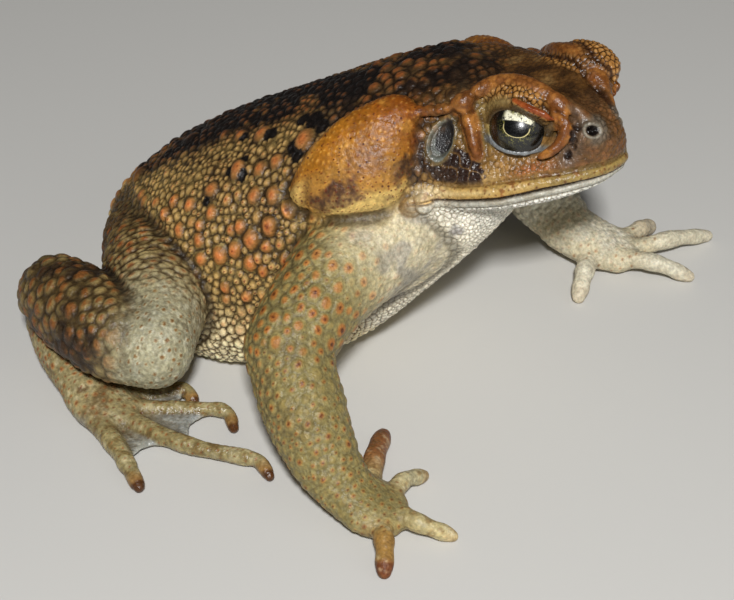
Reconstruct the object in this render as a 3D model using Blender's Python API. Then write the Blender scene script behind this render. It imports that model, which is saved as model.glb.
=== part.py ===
"""A life-size cane toad, sitting up on its hands with its head turned a little to its right.

The toad faces +X, its left side is +Y, and it stands on the floor at z = 0. The origin is on the
floor under the middle of its bounding box. Sizes below are in millimetres, and each mesh is made
in metres. The toad is about 130 mm long from snout to vent.
"""

import math

import bmesh
import bpy
import numpy as np
from mathutils import Matrix, Vector

MM = 0.001
# The middle of the bounding box, seen from above, before the toad is moved onto the origin.
ORIGIN = (-0.909, -3.707, 0.0)

# How the solids are meshed.
VOXEL = 0.9
GAP = 0.45
MERGE = 0.000004
SECTION_SIDES = 28
LIMB_SIDES = 16

# The head sits on the neck at this point, turned and tilted by these angles.
NECK = np.array([23.5, 3.9, 56.8])
HEAD_YAW, HEAD_PITCH, HEAD_ROLL = (math.radians(a) for a in (-12.0, 9.3, -4.8))
BODY_LEAN = math.tan(math.radians(-4.8))

EYE_RADIUS = 6.9
EYE_CENTRE = (19.8, 9.6, 5.6)
EYE_LOOK = (0.35, 0.9, 0.22)
EYE_OPENING = (5.6, 4.4)
EAR_CENTRE = (7.4, 19.3, 3.9)
EAR_LOOK = (-0.1, 1.0, 0.1)
EAR_RADII = (2.7, 1.6, 3.8)
# The room under the mouth and the room in front of the neck, as (x, z) in the head's frame.
MOUTH_LINE = [(0, -8.2), (10, -7.2), (18, -6.4), (25, -5.6), (33.4, -4.4), (42, -3.6), (42, -34), (0, -34)]
NECK_FRONT = [(-2.5, 40), (-2.5, -7.2), (0.5, -7.6), (60, -7.6), (60, 40)]


def through(knots, count):
    """Points on a smooth curve through the knots, evenly spread by knot number."""
    knots = np.array(knots, float)
    spread = np.linspace(0, len(knots) - 1, count)
    first = np.minimum(spread.astype(int), len(knots) - 2)
    u = (spread - first)[:, None]
    ends = 2 * knots[[0, -1]] - knots[[1, -2]]
    padded = np.vstack([ends[:1], knots, ends[1:]])
    a, b, c, d = (padded[first + k] for k in range(4))
    return 0.5 * (2 * b + (c - a) * u + (2 * a - 5 * b + 4 * c - d) * u**2 + (3 * b - a - 3 * c + d) * u**3)


def unit(v):
    v = np.asarray(v, float)
    return v / np.linalg.norm(v, axis=-1, keepdims=True)


def smooth(low, high, value):
    """0 below low, 1 above high, and an even curve between."""
    t = np.clip((value - low) / (high - low), 0, 1)
    return t * t * (3 - 2 * t)


def head_turn():
    """The rotation from the head's own axes to the toad's, and the neck it turns about."""
    turn = Matrix.Rotation(HEAD_YAW, 3, "Z") @ Matrix.Rotation(-HEAD_PITCH, 3, "Y")
    return np.array(turn @ Matrix.Rotation(HEAD_ROLL, 3, "X"))


def from_head(points):
    """Points of the head's own frame, placed on the toad."""
    return np.asarray(points, float) @ head_turn().T + NECK


def skin_rings(rings):
    """A closed mesh over a row of rings, each an equal number of points, with its two ends capped."""
    rings = np.asarray(rings, float)
    count, sides = rings.shape[:2]
    mesh = bmesh.new()
    verts = [[mesh.verts.new(p * MM) for p in ring] for ring in rings]
    for i in range(count - 1):
        for j in range(sides):
            k = (j + 1) % sides
            mesh.faces.new((verts[i][j], verts[i][k], verts[i + 1][k], verts[i + 1][j]))
    mesh.faces.new(reversed(verts[0]))
    mesh.faces.new(verts[-1])
    bmesh.ops.recalc_face_normals(mesh, faces=mesh.faces)
    return mesh


def limb(knots, up=(0, 0, 1), rings_per_knot=6, sides=LIMB_SIDES):
    """A rounded limb through knots of (x, y, z, half width, half height), with domed ends."""
    path = through(knots, rings_per_knot * (len(knots) - 1) + 1)
    tangent = unit(np.gradient(path[:, :3], axis=0))
    side = unit(np.cross(tangent, up))
    top = np.cross(side, tangent)
    around = np.linspace(0, 2 * math.pi, sides, endpoint=False)
    rings = []
    dome = [math.radians(a) for a in (80, 58, 32)]

    def ring(i, ahead, share):
        centre = path[i, :3] + tangent[i] * ahead
        return centre + share * (
            np.outer(np.cos(around) * path[i, 3], side[i]) + np.outer(np.sin(around) * path[i, 4], top[i])
        )

    for a in dome:
        rings.append(ring(0, -math.sin(a) * path[0, 3:].min(), math.cos(a)))
    for i in range(len(path)):
        rings.append(ring(i, 0, 1))
    for a in reversed(dome):
        rings.append(ring(-1, math.sin(a) * path[-1, 3:].min(), math.cos(a)))
    return skin_rings(rings)


BACK_FULLNESS = 2.1
BELLY_FULLNESS = 3.8


def bent_power(value, power):
    return np.sign(value) * np.abs(value) ** power


TRUNK_LINES = [
    # x, y of the middle, half width, z where widest, z of the back, z of the belly
    (-60.6, -3.6, 4.0, 14, 18.0, 10.0),
    (-58.2, -3.6, 11.0, 15, 23.5, 5.0),
    (-52.4, -3.4, 20.6, 16, 31.0, 1.0),
    (-44.0, -3.0, 27.6, 18, 38.5, -1.0),
    (-31.0, -3.0, 33.5, 19, 47.5, -2.5),
    (-16.0, -1.0, 35.3, 22, 55.5, -3.0),
    (-1.0, 1.0, 33.5, 30, 63.5, 1.0),
    (10.0, 2.5, 30.0, 39, 68.5, 9.0),
    (20.0, 3.5, 25.5, 46, 71.0, 20.0),
    (29.0, 3.0, 21.0, 50, 70.0, 31.0),
    (36.0, 2.0, 13.0, 52, 63.0, 41.0),
]


def trunk_hull():
    rows = through(TRUNK_LINES, 60)
    angle = np.linspace(0, 2 * math.pi, SECTION_SIDES, endpoint=False)
    bend = np.where(np.sin(angle) > 0, 2 / BACK_FULLNESS, 2 / BELLY_FULLNESS)
    across = bent_power(np.cos(angle), bend)
    upward = bent_power(np.sin(angle), bend)
    rings = []
    for x, middle, half, wide, back, belly in rows:
        rise = np.where(upward > 0, (back - wide) * upward, (wide - belly) * upward)
        y = half * across
        rings.append(np.column_stack([np.full_like(y, x), middle + y, wide + rise + y * BODY_LEAN]))
    return skin_rings(rings)


HEAD_LINES = [
    # x, crown z, crest y and z, cheek y and z, lip y and z, jaw y and z, throat z
    (-12.0, 12.0, 10.0, 12.5, 17.0, 2.0, 19.0, -9.0, 16.0, -16.0, -22.0),
    (-4.0, 12.3, 11.5, 12.8, 19.6, 3.0, 21.2, -8.2, 19.6, -13.0, -20.0),
    (3.0, 11.8, 12.5, 12.6, 19.8, 3.5, 22.2, -7.4, 20.6, -11.5, -18.5),
    (10.0, 11.3, 12.0, 12.4, 18.6, 3.0, 21.4, -6.7, 19.8, -10.6, -16.5),
    (18.0, 11.0, 9.6, 13.4, 15.6, 2.2, 19.4, -5.9, 17.7, -9.6, -13.8),
    (25.0, 10.4, 7.8, 12.2, 12.2, 2.4, 16.0, -5.1, 14.2, -8.4, -11.2),
    (30.0, 8.8, 6.2, 10.0, 9.8, 3.0, 12.1, -4.4, 10.4, -7.2, -8.8),
    (33.4, 7.2, 5.0, 8.0, 8.0, 3.2, 8.4, -3.9, 6.9, -6.0, -7.0),
    (35.6, 5.1, 3.3, 5.4, 5.2, 2.7, 5.0, -3.0, 3.9, -4.4, -5.0),
    (36.9, 2.8, 1.4, 2.8, 2.2, 1.6, 2.0, -0.6, 1.4, -1.6, -2.0),
]


LEFT_DROOP = 1.9
LEFT_NARROWING = 2.0


def drooped(h):
    """The left half of the snout lies a little lower and closer in than the right half."""
    h = np.array(h, float)
    x, y, z = h.T[:3]
    h[:, 2] -= LEFT_DROOP * smooth(1, 6, y) * smooth(20, 29, x) * smooth(0, 5, z)
    h[:, 1] -= LEFT_NARROWING * smooth(2, 7, y) * smooth(25, 34, x)
    return h


def head_hull():
    """The head without its eyelids: each section runs crown, crest, cheek, lip, jaw, throat."""
    rows = through(HEAD_LINES, 50)
    rings = []
    for x, crown, crest_y, crest_z, cheek_y, cheek_z, lip_y, lip_z, jaw_y, jaw_z, throat in rows:
        half = [(crest_y, crest_z), (cheek_y, cheek_z), (lip_y, lip_z), (jaw_y, jaw_z)]
        loop = [(0, crown)] + half + [(0, throat)] + [(-y, z) for y, z in reversed(half)]
        loop = loop[-2:] + loop + loop[:3]
        section = through(loop, (len(loop) - 1) * 3 + 1)[6:-7]
        rings.append(from_head(drooped(np.column_stack([np.full(len(section), x), section]))))
    return skin_rings(rings)


def ball(centre, radii, turn=None):
    """An ellipsoid. turn is a rotation matrix for its axes."""
    mesh = bmesh.new()
    place = Matrix.Translation(Vector(np.asarray(centre, float) * MM))
    if turn is not None:
        place = place @ Matrix(turn).to_4x4()
    place = place @ Matrix.Diagonal(Vector([*(r * MM for r in radii), 1]))
    bmesh.ops.create_icosphere(mesh, subdivisions=4, radius=1, matrix=place)
    return mesh


def head_ball(centre, radii, side=1):
    centre = drooped(np.array([centre], float) * (1, side, 1))[0]
    return ball(from_head(centre), radii, head_turn())


def head_tube(knots, side, shift):
    knots = np.array(knots, float)
    placed = from_head(drooped(knots[:, :3] * (1, side, 1)) + shift)
    return limb(np.column_stack([placed, knots[:, 3], knots[:, 3]]), up=head_turn()[:, 2], sides=8)


# Bony ridges over and round each eye and the folds of the lids, as (x, y, z, half thickness).
CRESTS = {
    "brow": [(33.4, 5.4, 8.0, 0.7), (31.0, 7.0, 9.8, 1.0), (28.3, 8.4, 12.0, 1.2), (25.0, 9.0, 13.7, 1.3),
             (21.5, 9.5, 14.8, 1.3), (18.0, 10.0, 15.0, 1.3), (15.0, 11.2, 14.5, 1.3),
             (12.6, 13.0, 13.4, 1.3), (9.9, 15.7, 11.4, 1.4)],
    "fore": [(28.3, 8.6, 12.0, 1.1), (30.2, 9.3, 9.6, 1.2), (30.8, 10.0, 7.2, 1.2), (30.4, 11.0, 4.9, 1.2),
             (28.9, 12.7, 3.2, 1.1), (27.0, 13.9, 2.3, 0.8)],
    "hind": [(9.9, 15.7, 11.2, 1.4), (11.5, 16.5, 8.6, 1.3), (12.8, 17.3, 6.2, 1.2), (13.8, 18.0, 3.8, 1.1),
             (14.4, 18.4, 2.0, 0.8)],
    "ear": [(9.9, 15.7, 11.4, 1.4), (6.6, 17.8, 10.2, 1.3), (3.4, 19.4, 9.8, 1.4), (0.4, 20.6, 9.6, 1.4)],
    "lid": [(21.9, 14.4, 13.4, 0.3), (23.9, 14.5, 12.9, 0.45), (26.0, 14.2, 12.1, 0.55),
            (28.2, 13.0, 10.9, 0.6), (29.6, 11.6, 9.3, 0.55)],
}
JAW_KNOBS = [((4.2, 23.9, -8.8), 2.1), ((1.5, 24.8, -9.4), 2.5)]
# How far each side's ridges stand off that place.
CREST_SHIFTS = {
    -1: {"brow": (0, 0, 0.5), "lid": (0, -0.2, 0.4), "fore": (0.4, -0.4, 0)},
    1: {"brow": (0, 0, -0.3), "lid": (0, -0.6, -0.6), "fore": (-1.6, -0.8, 0), "ear": (0, -0.6, -1.3)},
}
DOMES = {-1: ((20.0, 10.4, 7.9), (9.0, 6.3, 7.6)), 1: ((21.0, 11.8, 9.2), (8.6, 6.6, 7.4))}
SNOUT_SWELLS = {-1: ((31.8, 6.4, 5.0), (3.6, 3.5, 3.8)), 1: ((30.2, 5.4, 4.2), (3.4, 3.3, 3.4))}


def head_forms():
    forms = [head_hull()]
    for side in (-1, 1):
        forms.append(head_ball(*DOMES[side], side))
        forms.append(head_ball((14.6, 11.6, 5.0), (5.2, 4.7, 5.8), side))
        forms.append(head_ball(*SNOUT_SWELLS[side], side))
        for name, knots in CRESTS.items():
            forms.append(head_tube(knots, side, CREST_SHIFTS[side].get(name, (0, 0, 0))))
        for centre, size in JAW_KNOBS:
            forms.append(head_ball(centre, (size, 0.9 * size, size), side))
    return forms


GLAND_LINES = [
    # x, y and z of the top edge, y and z of the bottom edge, half thickness
    (-3.2, -27.3, 53.0, -28.2, 49.0, 1.6),
    (-1.0, -25.0, 59.0, -28.6, 47.8, 3.4),
    (4.0, -20.4, 65.3, -29.3, 47.6, 5.2),
    (9.0, -16.2, 68.6, -28.8, 48.3, 6.0),
    (14.0, -13.4, 70.4, -27.4, 49.4, 5.8),
    (17.2, -13.4, 70.0, -25.6, 50.6, 4.8),
    (19.0, -15.5, 67.6, -24.6, 52.6, 3.2),
    (20.2, -18.0, 63.5, -23.2, 55.5, 1.4),
]
LEFT_GLAND_SHIFT = (7.8, 4.5, -4.5)
GLAND_FULLNESS = 2.5


def gland(side):
    """The long gland behind the eye, a pillow leaning against the shoulder."""
    angle = np.linspace(0, 2 * math.pi, 20, endpoint=False)
    along = bent_power(np.cos(angle), 2 / GLAND_FULLNESS)
    across = bent_power(np.sin(angle), 2 / GLAND_FULLNESS)
    rings = []
    for x, top_y, top_z, low_y, low_z, thick in through(GLAND_LINES, 24):
        top, low = np.array([x, top_y, top_z]), np.array([x, low_y, low_z])
        out = unit(np.cross(top - low, (1, 0, 0)))
        rings.append((top + low) / 2 + np.outer(along, (top - low) / 2) + np.outer(across, out * thick))
    rings = np.array(rings)
    if side > 0:
        rings = rings * (1, -1, 1) + LEFT_GLAND_SHIFT
    return skin_rings(rings)


# Each limb's knots are (x, y, z, half width, half height). A digit's are (x, y, z, half thickness).
ARMS = {
    "right": {
        "upper": [(14, -18, 40, 12, 12), (8.5, -36, 35, 10.0, 10.5), (6, -50, 28.5, 8.8, 9.2)],
        "fore": [(6, -50, 27.5, 8.6, 9.2), (13, -56.6, 19.5, 8.6, 8.8), (19.2, -60.8, 12.5, 7.4, 7.0),
                 (25, -63, 7.5, 6.2, 4.8)],
        "palm": [(25, -63, 7.0, 6.2, 4.6), (31, -63, 4.6, 7.4, 4.0), (35, -62.5, 3.4, 6.4, 3.4)],
        "fingers": [
            [(28, -58, 4.0, 2.6), (24.6, -48, 4.2, 2.3), (22.1, -38.8, 1.8, 2.2)],
            [(33, -59, 4.2, 2.4), (33.2, -52.7, 4.4, 1.9), (35.0, -46.6, 1.5, 1.8)],
            [(36, -62, 4.2, 2.4), (41.8, -63.0, 4.2, 2.0), (47.8, -60.9, 1.5, 1.8)],
            [(34, -66, 4.0, 2.4), (37.5, -71, 4.2, 2.1), (39.8, -76.0, 1.6, 2.0)],
        ],
    },
    "left": {
        "upper": [(20, 20, 40, 12, 12), (15, 38, 33, 10.5, 10.5), (12, 50, 26, 9.5, 9.5)],
        "fore": [(12, 50, 25, 9.2, 9.2), (17, 48, 18, 9.0, 8.8), (24, 45, 13, 8.0, 7.6),
                 (31, 43, 8.5, 6.8, 5.8)],
        "palm": [(31, 42, 8.0, 6.8, 5.4), (39, 42, 5.2, 7.6, 4.4), (46, 43, 3.6, 7.0, 3.6)],
        "fingers": [
            [(40, 37, 4.2, 2.6), (41, 31, 4.2, 2.3), (42, 25.0, 1.7, 2.1)],
            [(47, 40, 4.2, 2.4), (55, 40.8, 4.6, 2.1), (62.4, 43.0, 1.5, 1.9)],
            [(48, 44, 4.2, 2.4), (55, 51.5, 4.6, 2.1), (61.2, 60.6, 1.5, 1.8)],
            [(45, 48, 4.2, 2.4), (47, 53, 4.4, 2.1), (47.5, 58.5, 1.6, 2.0)],
        ],
    },
}

LEGS = {
    "right": {
        "thigh": [(-44, -17, 20, 11.5, 12.5), (-33.5, -34, 22.4, 11.6, 12.2), (-22.6, -52.4, 20.2, 8.6, 9.2)],
        "shank": [(-22.5, -53.6, 19.0, 8.4, 8.8), (-36, -52, 21, 9.8, 10), (-51, -45, 20, 9.0, 9.4),
                  (-60, -39.5, 14.5, 6, 7)],
        "ankle": [(-60, -40, 11.5, 5.2, 6.0), (-52, -48, 8, 5.0, 5.4), (-41, -54, 5, 5.8, 4.4)],
        "sole": [(-42, -54, 4.6, 5.8, 4.4), (-36, -56, 3.4, 7.2, 3.8), (-31, -57, 2.6, 6.6, 3.0)],
        "toes": [
            [(-38, -51, 2.8, 2.3), (-32, -47, 2.4, 2.0), (-28, -43.5, 1.5, 1.9)],
            [(-35, -52, 2.8, 2.3), (-28.5, -47.0, 2.6, 1.9), (-23.6, -43.2, 2.6, 1.7),
             (-20.0, -45.0, 1.4, 1.6)],
            [(-33, -54.5, 2.8, 2.4), (-24, -51.0, 2.8, 1.9), (-15.3, -47.0, 2.8, 1.7),
             (-11.2, -46.2, 2.6, 1.6), (-8.2, -49.2, 1.4, 1.6)],
            [(-32, -57, 2.8, 2.5), (-20, -59.0, 2.8, 2.1), (-11.4, -59.3, 2.7, 1.9), (-2, -57.9, 2.6, 1.8),
             (2.4, -57.6, 2.5, 1.7), (5.9, -59.8, 1.4, 1.6)],
            [(-36, -60, 2.8, 2.6), (-24.8, -67.9, 2.6, 2.1), (-17.2, -74.0, 1.5, 1.8)],
        ],
    },
    "left": {
        "thigh": [(-44, 11, 20, 11.5, 12.5), (-28, 30, 20, 12, 12), (-10, 44, 16, 9.8, 9.8)],
        "shank": [(-10, 45, 15, 9.0, 9.0), (-26, 44, 16, 9.8, 9.6), (-43, 40, 14, 9.0, 9.0),
                  (-54, 35, 10, 6, 6.5)],
        "ankle": [(-54, 36, 9.0, 5.2, 5.8), (-45, 45, 6.5, 5.0, 5.0), (-36, 52, 5, 5.8, 4.4)],
        "sole": [(-36, 52, 4.6, 5.8, 4.4), (-30, 54, 3.4, 7.2, 3.8), (-25, 55, 2.6, 6.6, 3.0)],
        "toes": [
            [(-32, 49, 2.8, 2.3), (-26, 45, 2.4, 2.0), (-21, 42.5, 1.5, 1.9)],
            [(-29, 50, 2.8, 2.4), (-21, 47.5, 2.6, 2.1), (-14.0, 46.0, 1.5, 1.9)],
            [(-27, 53, 2.8, 2.4), (-14, 52, 2.8, 2.0), (-2.5, 51.0, 1.4, 1.8)],
            [(-26, 56, 2.8, 2.5), (-12, 57.5, 2.8, 2.1), (0, 58.5, 2.4, 1.9), (9.0, 58.5, 1.4, 1.8)],
            [(-29, 58.5, 2.8, 2.6), (-20.5, 64.0, 2.6, 2.3), (-12, 68.5, 1.6, 2.0)],
        ],
    },
}

# How far along its two toes each web reaches, and how thick it is.
WEB_REACHES = [(0.6, 0.5), (0.72, 0.45), (0.56, 0.36), (0.3, 0.6)]
WEB_HALF_THICKNESS = 0.75


def web(toe, next_toe, reaches):
    """The skin between two toes, its free edge curved in."""
    along, across = np.linspace(0.08, 1, 7), np.linspace(0, 1, 7)
    fine = [through(np.array(knots)[:, :3], 101) for knots in (toe, next_toe)]
    rings = []
    for t in along:
        hollow = 100 * t * (1 - 0.9 * across * (1 - across))
        own, other = ((hollow * reach).astype(int) for reach in reaches)
        line = fine[0][own] * (1 - across[:, None]) + fine[1][other] * across[:, None]
        line[:, 2] *= 0.75
        lift = np.array([0, 0, WEB_HALF_THICKNESS])
        rings.append(np.vstack([line + lift, (line - lift)[::-1]]))
    return skin_rings(rings)


def foot_forms(leg):
    toes = leg["toes"]
    webs = [web(a, b, reaches) for a, b, reaches in zip(toes, toes[1:], WEB_REACHES)]
    return [limb(leg["sole"])] + [digit(t) for t in toes] + webs


def hand_forms(arm):
    return [limb(arm["palm"])] + [digit(f) for f in arm["fingers"]]


def digit(knots):
    knots = np.array(knots, float)
    return limb(np.column_stack([knots, knots[:, 3]]), sides=10)


def object_from(name, mesh):
    data = bpy.data.meshes.new(name)
    mesh.to_mesh(data)
    mesh.free()
    obj = bpy.data.objects.new(name, data)
    bpy.context.scene.collection.objects.link(obj)
    return obj


def joined(name, forms):
    whole = bmesh.new()
    for form in forms:
        data = bpy.data.meshes.new("form")
        form.to_mesh(data)
        form.free()
        whole.from_mesh(data)
        bpy.data.meshes.remove(data)
    return object_from(name, whole)


def applied(obj):
    """The object with its modifiers made real."""
    graph = bpy.context.evaluated_depsgraph_get()
    data = bpy.data.meshes.new_from_object(obj.evaluated_get(graph))
    obj.modifiers.clear()
    obj.data = data
    return obj


def fused(name, forms, voxel=VOXEL, rounds=4):
    """One closed surface round all the forms."""
    obj = joined(name, forms)
    remesh = obj.modifiers.new("fuse", "REMESH")
    remesh.mode = "VOXEL"
    remesh.voxel_size = voxel * MM
    smooth = obj.modifiers.new("smooth", "SMOOTH")
    smooth.factor = 0.5
    smooth.iterations = rounds
    return applied(obj)


def clear_scene():
    for obj in list(bpy.data.objects):
        bpy.data.objects.remove(obj)


def loose_parts(mesh):
    """The separate pieces of a mesh, each a list of faces, the largest first."""
    left = set(mesh.faces)
    pieces = []
    while left:
        edge_of = [left.pop()]
        piece = list(edge_of)
        while edge_of:
            face = edge_of.pop()
            near = {other for edge in face.edges for other in edge.link_faces} & left
            left -= near
            edge_of += near
            piece += near
        pieces.append(piece)
    return sorted(pieces, key=len, reverse=True)


def tidied(obj):
    """The object as one closed body of triangles."""
    mesh = bmesh.new()
    mesh.from_mesh(obj.data)
    for piece in loose_parts(mesh)[1:]:
        bmesh.ops.delete(mesh, geom=piece, context="FACES")
    bmesh.ops.remove_doubles(mesh, verts=mesh.verts, dist=MERGE)
    bmesh.ops.dissolve_degenerate(mesh, edges=mesh.edges, dist=MERGE)
    bmesh.ops.triangulate(mesh, faces=mesh.faces)
    bmesh.ops.recalc_face_normals(mesh, faces=mesh.faces)
    mesh.to_mesh(obj.data)
    mesh.free()
    return obj


def with_tool(obj, tool, operation="DIFFERENCE"):
    """The object cut by, or kept inside, a tool object."""
    cut = obj.modifiers.new("cut", "BOOLEAN")
    cut.operation = operation
    cut.solver = "EXACT"
    cut.object = tool
    cut.use_self = True
    return tidied(applied(obj))


def grown(obj, by):
    """A copy of the object, larger all round, to cut a neighbour clear of it."""
    copy = bpy.data.objects.new(obj.name + "_room", obj.data.copy())
    bpy.context.scene.collection.objects.link(copy)
    swell = copy.modifiers.new("swell", "DISPLACE")
    swell.strength = by * MM
    swell.mid_level = 0
    return applied(copy)


def box(name, low, high, placed=lambda p: np.asarray(p, float)):
    mesh = bmesh.new()
    corners = [(x, y, z) for x in (low[0], high[0]) for y in (low[1], high[1]) for z in (low[2], high[2])]
    verts = [mesh.verts.new(p * MM) for p in placed(corners)]
    bmesh.ops.convex_hull(mesh, input=verts)
    return object_from(name, mesh)


def wedge(name, outline, half_width):
    """A prism across the head, from an outline of (x, z) in the head's frame."""
    sides = [from_head([(x, y, z) for x, z in outline]) for y in (-half_width, half_width)]
    return object_from(name, skin_rings(sides))


def solid(name, forms, triangles):
    """A node's own body, thinned to about this many triangles and flat where it meets the floor."""
    obj = fused(name, forms)
    thin = obj.modifiers.new("thin", "DECIMATE")
    thin.ratio = triangles / (2 * len(obj.data.polygons))
    applied(obj)
    below = box("floor_room", (-200, -200, -50), (200, 200, 0))
    with_tool(obj, below)
    bpy.data.objects.remove(below)
    return obj


def eye_axis(side):
    return head_turn() @ unit(np.array(EYE_LOOK) * (1, side, 1))


def eye_opening(side):
    """A tube from the middle of the eye outward, the shape of the open lids."""
    axis = eye_axis(side)
    start = from_head(np.array(EYE_CENTRE) * (1, side, 1))
    long, high = EYE_OPENING
    knots = [(*(start + axis * t), long, high) for t in (2, 8, 16)]
    return object_from("eye_room", limb(knots, up=head_turn()[:, 2], sides=16))


def flat_ball(centre, radii, look):
    """A ball pressed along the way it looks."""
    turn = np.array(Vector(look).to_track_quat("Y", "Z").to_matrix())
    return ball(centre, radii, turn)


def side_name(side):
    return "left" if side > 0 else "right"


def with_room(obj, room, operation="DIFFERENCE", grow=False):
    """The object cut by a tool that is then thrown away."""
    tools = [room] + ([grown(room, GAP)] if grow else [])
    with_tool(obj, tools[-1], operation)
    for tool in tools:
        bpy.data.objects.remove(tool)


def build_parts():
    """Every node in the order it claims its room; later ones are cut clear of earlier ones."""
    nodes = []

    def add(obj, *neighbours):
        for other in neighbours:
            with_room(obj, grown(other, GAP))
        nodes.append(obj)
        return obj

    eyes, ears, glands, arms, legs = [], [], [], [], []
    for side in (-1, 1):
        name = side_name(side)
        eyes.append(add(solid("eye_" + name, [head_ball(EYE_CENTRE, [EYE_RADIUS] * 3, side)], 160)))
        place = from_head(np.array(EAR_CENTRE) * (1, side, 1))
        look = head_turn() @ unit(np.array(EAR_LOOK) * (1, side, 1))
        ears.append(add(solid("eardrum_" + name, [flat_ball(place, EAR_RADII, look)], 80)))
        glands.append(add(solid("parotoid_gland_" + name, [gland(side)], 180), ears[-1]))

    for name in ("right", "left"):
        arm = ARMS[name]
        hand = add(solid("hand_" + name, hand_forms(arm), 430))
        fore = add(solid("forearm_" + name, [limb(arm["fore"])], 170), hand)
        upper = add(solid("upper_arm_" + name, [limb(arm["upper"])], 140), fore, *glands)
        arms += [hand, fore, upper]
        leg = LEGS[name]
        foot = add(solid("foot_" + name, foot_forms(leg), 520))
        ankle = add(solid("ankle_" + name, [limb(leg["ankle"])], 110), foot)
        shank = add(solid("shank_" + name, [limb(leg["shank"])], 180), ankle, foot)
        thigh = add(solid("thigh_" + name, [limb(leg["thigh"])], 160), shank, ankle, foot)
        legs += [thigh, shank, ankle, foot]

    jaw, head, trunk = (
        solid(name, [trunk_hull()] + head_forms(), triangles)
        for name, triangles in (("lower_jaw", 1000), ("head", 1000), ("trunk", 1050))
    )
    with_room(jaw, wedge("mouth_room", MOUTH_LINE, 60), "INTERSECT")
    with_room(head, wedge("neck_room", NECK_FRONT, 60), "INTERSECT")
    with_room(head, wedge("mouth_room", MOUTH_LINE, 60), grow=True)
    with_room(trunk, wedge("neck_room", NECK_FRONT, 60), grow=True)
    with_room(trunk, wedge("mouth_room", MOUTH_LINE, 60), grow=True)
    for side in (-1, 1):
        with_room(head, eye_opening(side))
    add(jaw, *arms)
    add(head, *eyes, *ears, *glands, *arms)
    add(trunk, *glands, *arms, *legs)
    return nodes


COLOURS = {
    "eye": (0.03, 0.025, 0.02), "eardrum": (0.07, 0.075, 0.085), "parotoid": (0.33, 0.15, 0.04),
    "lower": (0.55, 0.5, 0.38), "head": (0.33, 0.18, 0.06), "trunk": (0.2, 0.11, 0.04),
    "hand": (0.42, 0.34, 0.2), "foot": (0.35, 0.27, 0.19), "forearm": (0.36, 0.28, 0.14),
    "upper": (0.4, 0.31, 0.15), "thigh": (0.3, 0.2, 0.1), "shank": (0.22, 0.14, 0.06),
    "ankle": (0.25, 0.18, 0.1),
}
ROUGHNESS = {"eye": 0.08, "eardrum": 0.3, "parotoid": 0.4, "head": 0.4}


def placed_on_origin(obj):
    obj.data.transform(Matrix.Translation(Vector(ORIGIN) * -MM))
    return obj


def painted(obj):
    kind = obj.name.split("_")[0]
    material = bpy.data.materials.new(obj.name)
    material.use_nodes = True
    shader = material.node_tree.nodes["Principled BSDF"]
    shader.inputs["Base Color"].default_value = (*COLOURS[kind], 1)
    shader.inputs["Roughness"].default_value = ROUGHNESS.get(kind, 0.55)
    obj.data.materials.clear()
    obj.data.materials.append(material)


def build():
    clear_scene()
    for node in build_parts():
        painted(placed_on_origin(node))


if __name__ == "__main__":
    build()
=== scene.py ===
"""The looks of a life-size cane toad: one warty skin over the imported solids, with glossy eyes.

The body is shaped in the toad's own frame, in millimetres: it faces +X, its left side is +Y and the
floor is z = 0. Everything is moved onto the model's origin and made in metres at the end.
"""

import math

import bmesh
import bpy
import numpy as np
from mathutils import Matrix, Vector
from mathutils.kdtree import KDTree


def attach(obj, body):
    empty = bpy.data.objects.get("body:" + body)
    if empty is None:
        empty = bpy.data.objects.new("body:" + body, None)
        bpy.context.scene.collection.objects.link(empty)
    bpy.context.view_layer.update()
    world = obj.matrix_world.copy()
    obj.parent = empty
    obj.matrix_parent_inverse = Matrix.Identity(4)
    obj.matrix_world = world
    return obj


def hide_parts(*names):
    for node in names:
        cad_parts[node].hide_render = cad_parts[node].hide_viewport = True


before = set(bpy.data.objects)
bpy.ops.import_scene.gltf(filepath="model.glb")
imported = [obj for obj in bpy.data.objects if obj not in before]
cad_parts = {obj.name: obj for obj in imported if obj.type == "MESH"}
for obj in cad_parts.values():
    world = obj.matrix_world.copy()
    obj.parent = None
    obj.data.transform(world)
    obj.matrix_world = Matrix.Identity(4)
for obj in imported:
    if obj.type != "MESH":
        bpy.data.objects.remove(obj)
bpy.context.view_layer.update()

MM = 0.001
ORIGIN = np.array([-0.909, -3.707, 0.0])
SIDES = (("right", -1), ("left", 1))
SEED = 11
NOISE_SIDE = 24
# Further than anything that is looked for.
FAR = 99.0

VOXEL = 0.38
BLENDING_ROUNDS = 90
TRUNK_SECTIONS, TRUNK_SIDES = 80, 40
HEAD_SECTIONS = 70
GLAND_SECTIONS, GLAND_SIDES = 40, 32
RINGS_PER_KNOT = 8
LIMB_SIDES, DIGIT_SIDES, RIDGE_SIDES = 24, 14, 12
EYE_RINGS, EYE_TURNS = ((190, 256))

NECK = np.array([23.5, 3.9, 56.8])
HEAD_YAW, HEAD_PITCH, HEAD_ROLL = (math.radians(a) for a in (-12.0, 9.3, -4.8))
BODY_LEAN = math.tan(math.radians(-4.8))

EYE_RADIUS = 6.9
EYE_CENTRE = (19.8, 9.6, 5.6)
EYE_LOOK = (0.35, 0.9, 0.22)
EAR_CENTRE = (6.7, 19.9, 3.9)


# Small tools for numbers and curves.


def through(knots, count):
    """Points on a smooth curve through the knots, evenly spread by knot number."""
    knots = np.array(knots, float)
    spread = np.linspace(0, len(knots) - 1, count)
    first = np.minimum(spread.astype(int), len(knots) - 2)
    u = (spread - first)[:, None]
    ends = 2 * knots[[0, -1]] - knots[[1, -2]]
    padded = np.vstack([ends[:1], knots, ends[1:]])
    a, b, c, d = (padded[first + k] for k in range(4))
    return 0.5 * (2 * b + (c - a) * u + (2 * a - 5 * b + 4 * c - d) * u**2 + (3 * b - a - 3 * c + d) * u**3)


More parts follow.
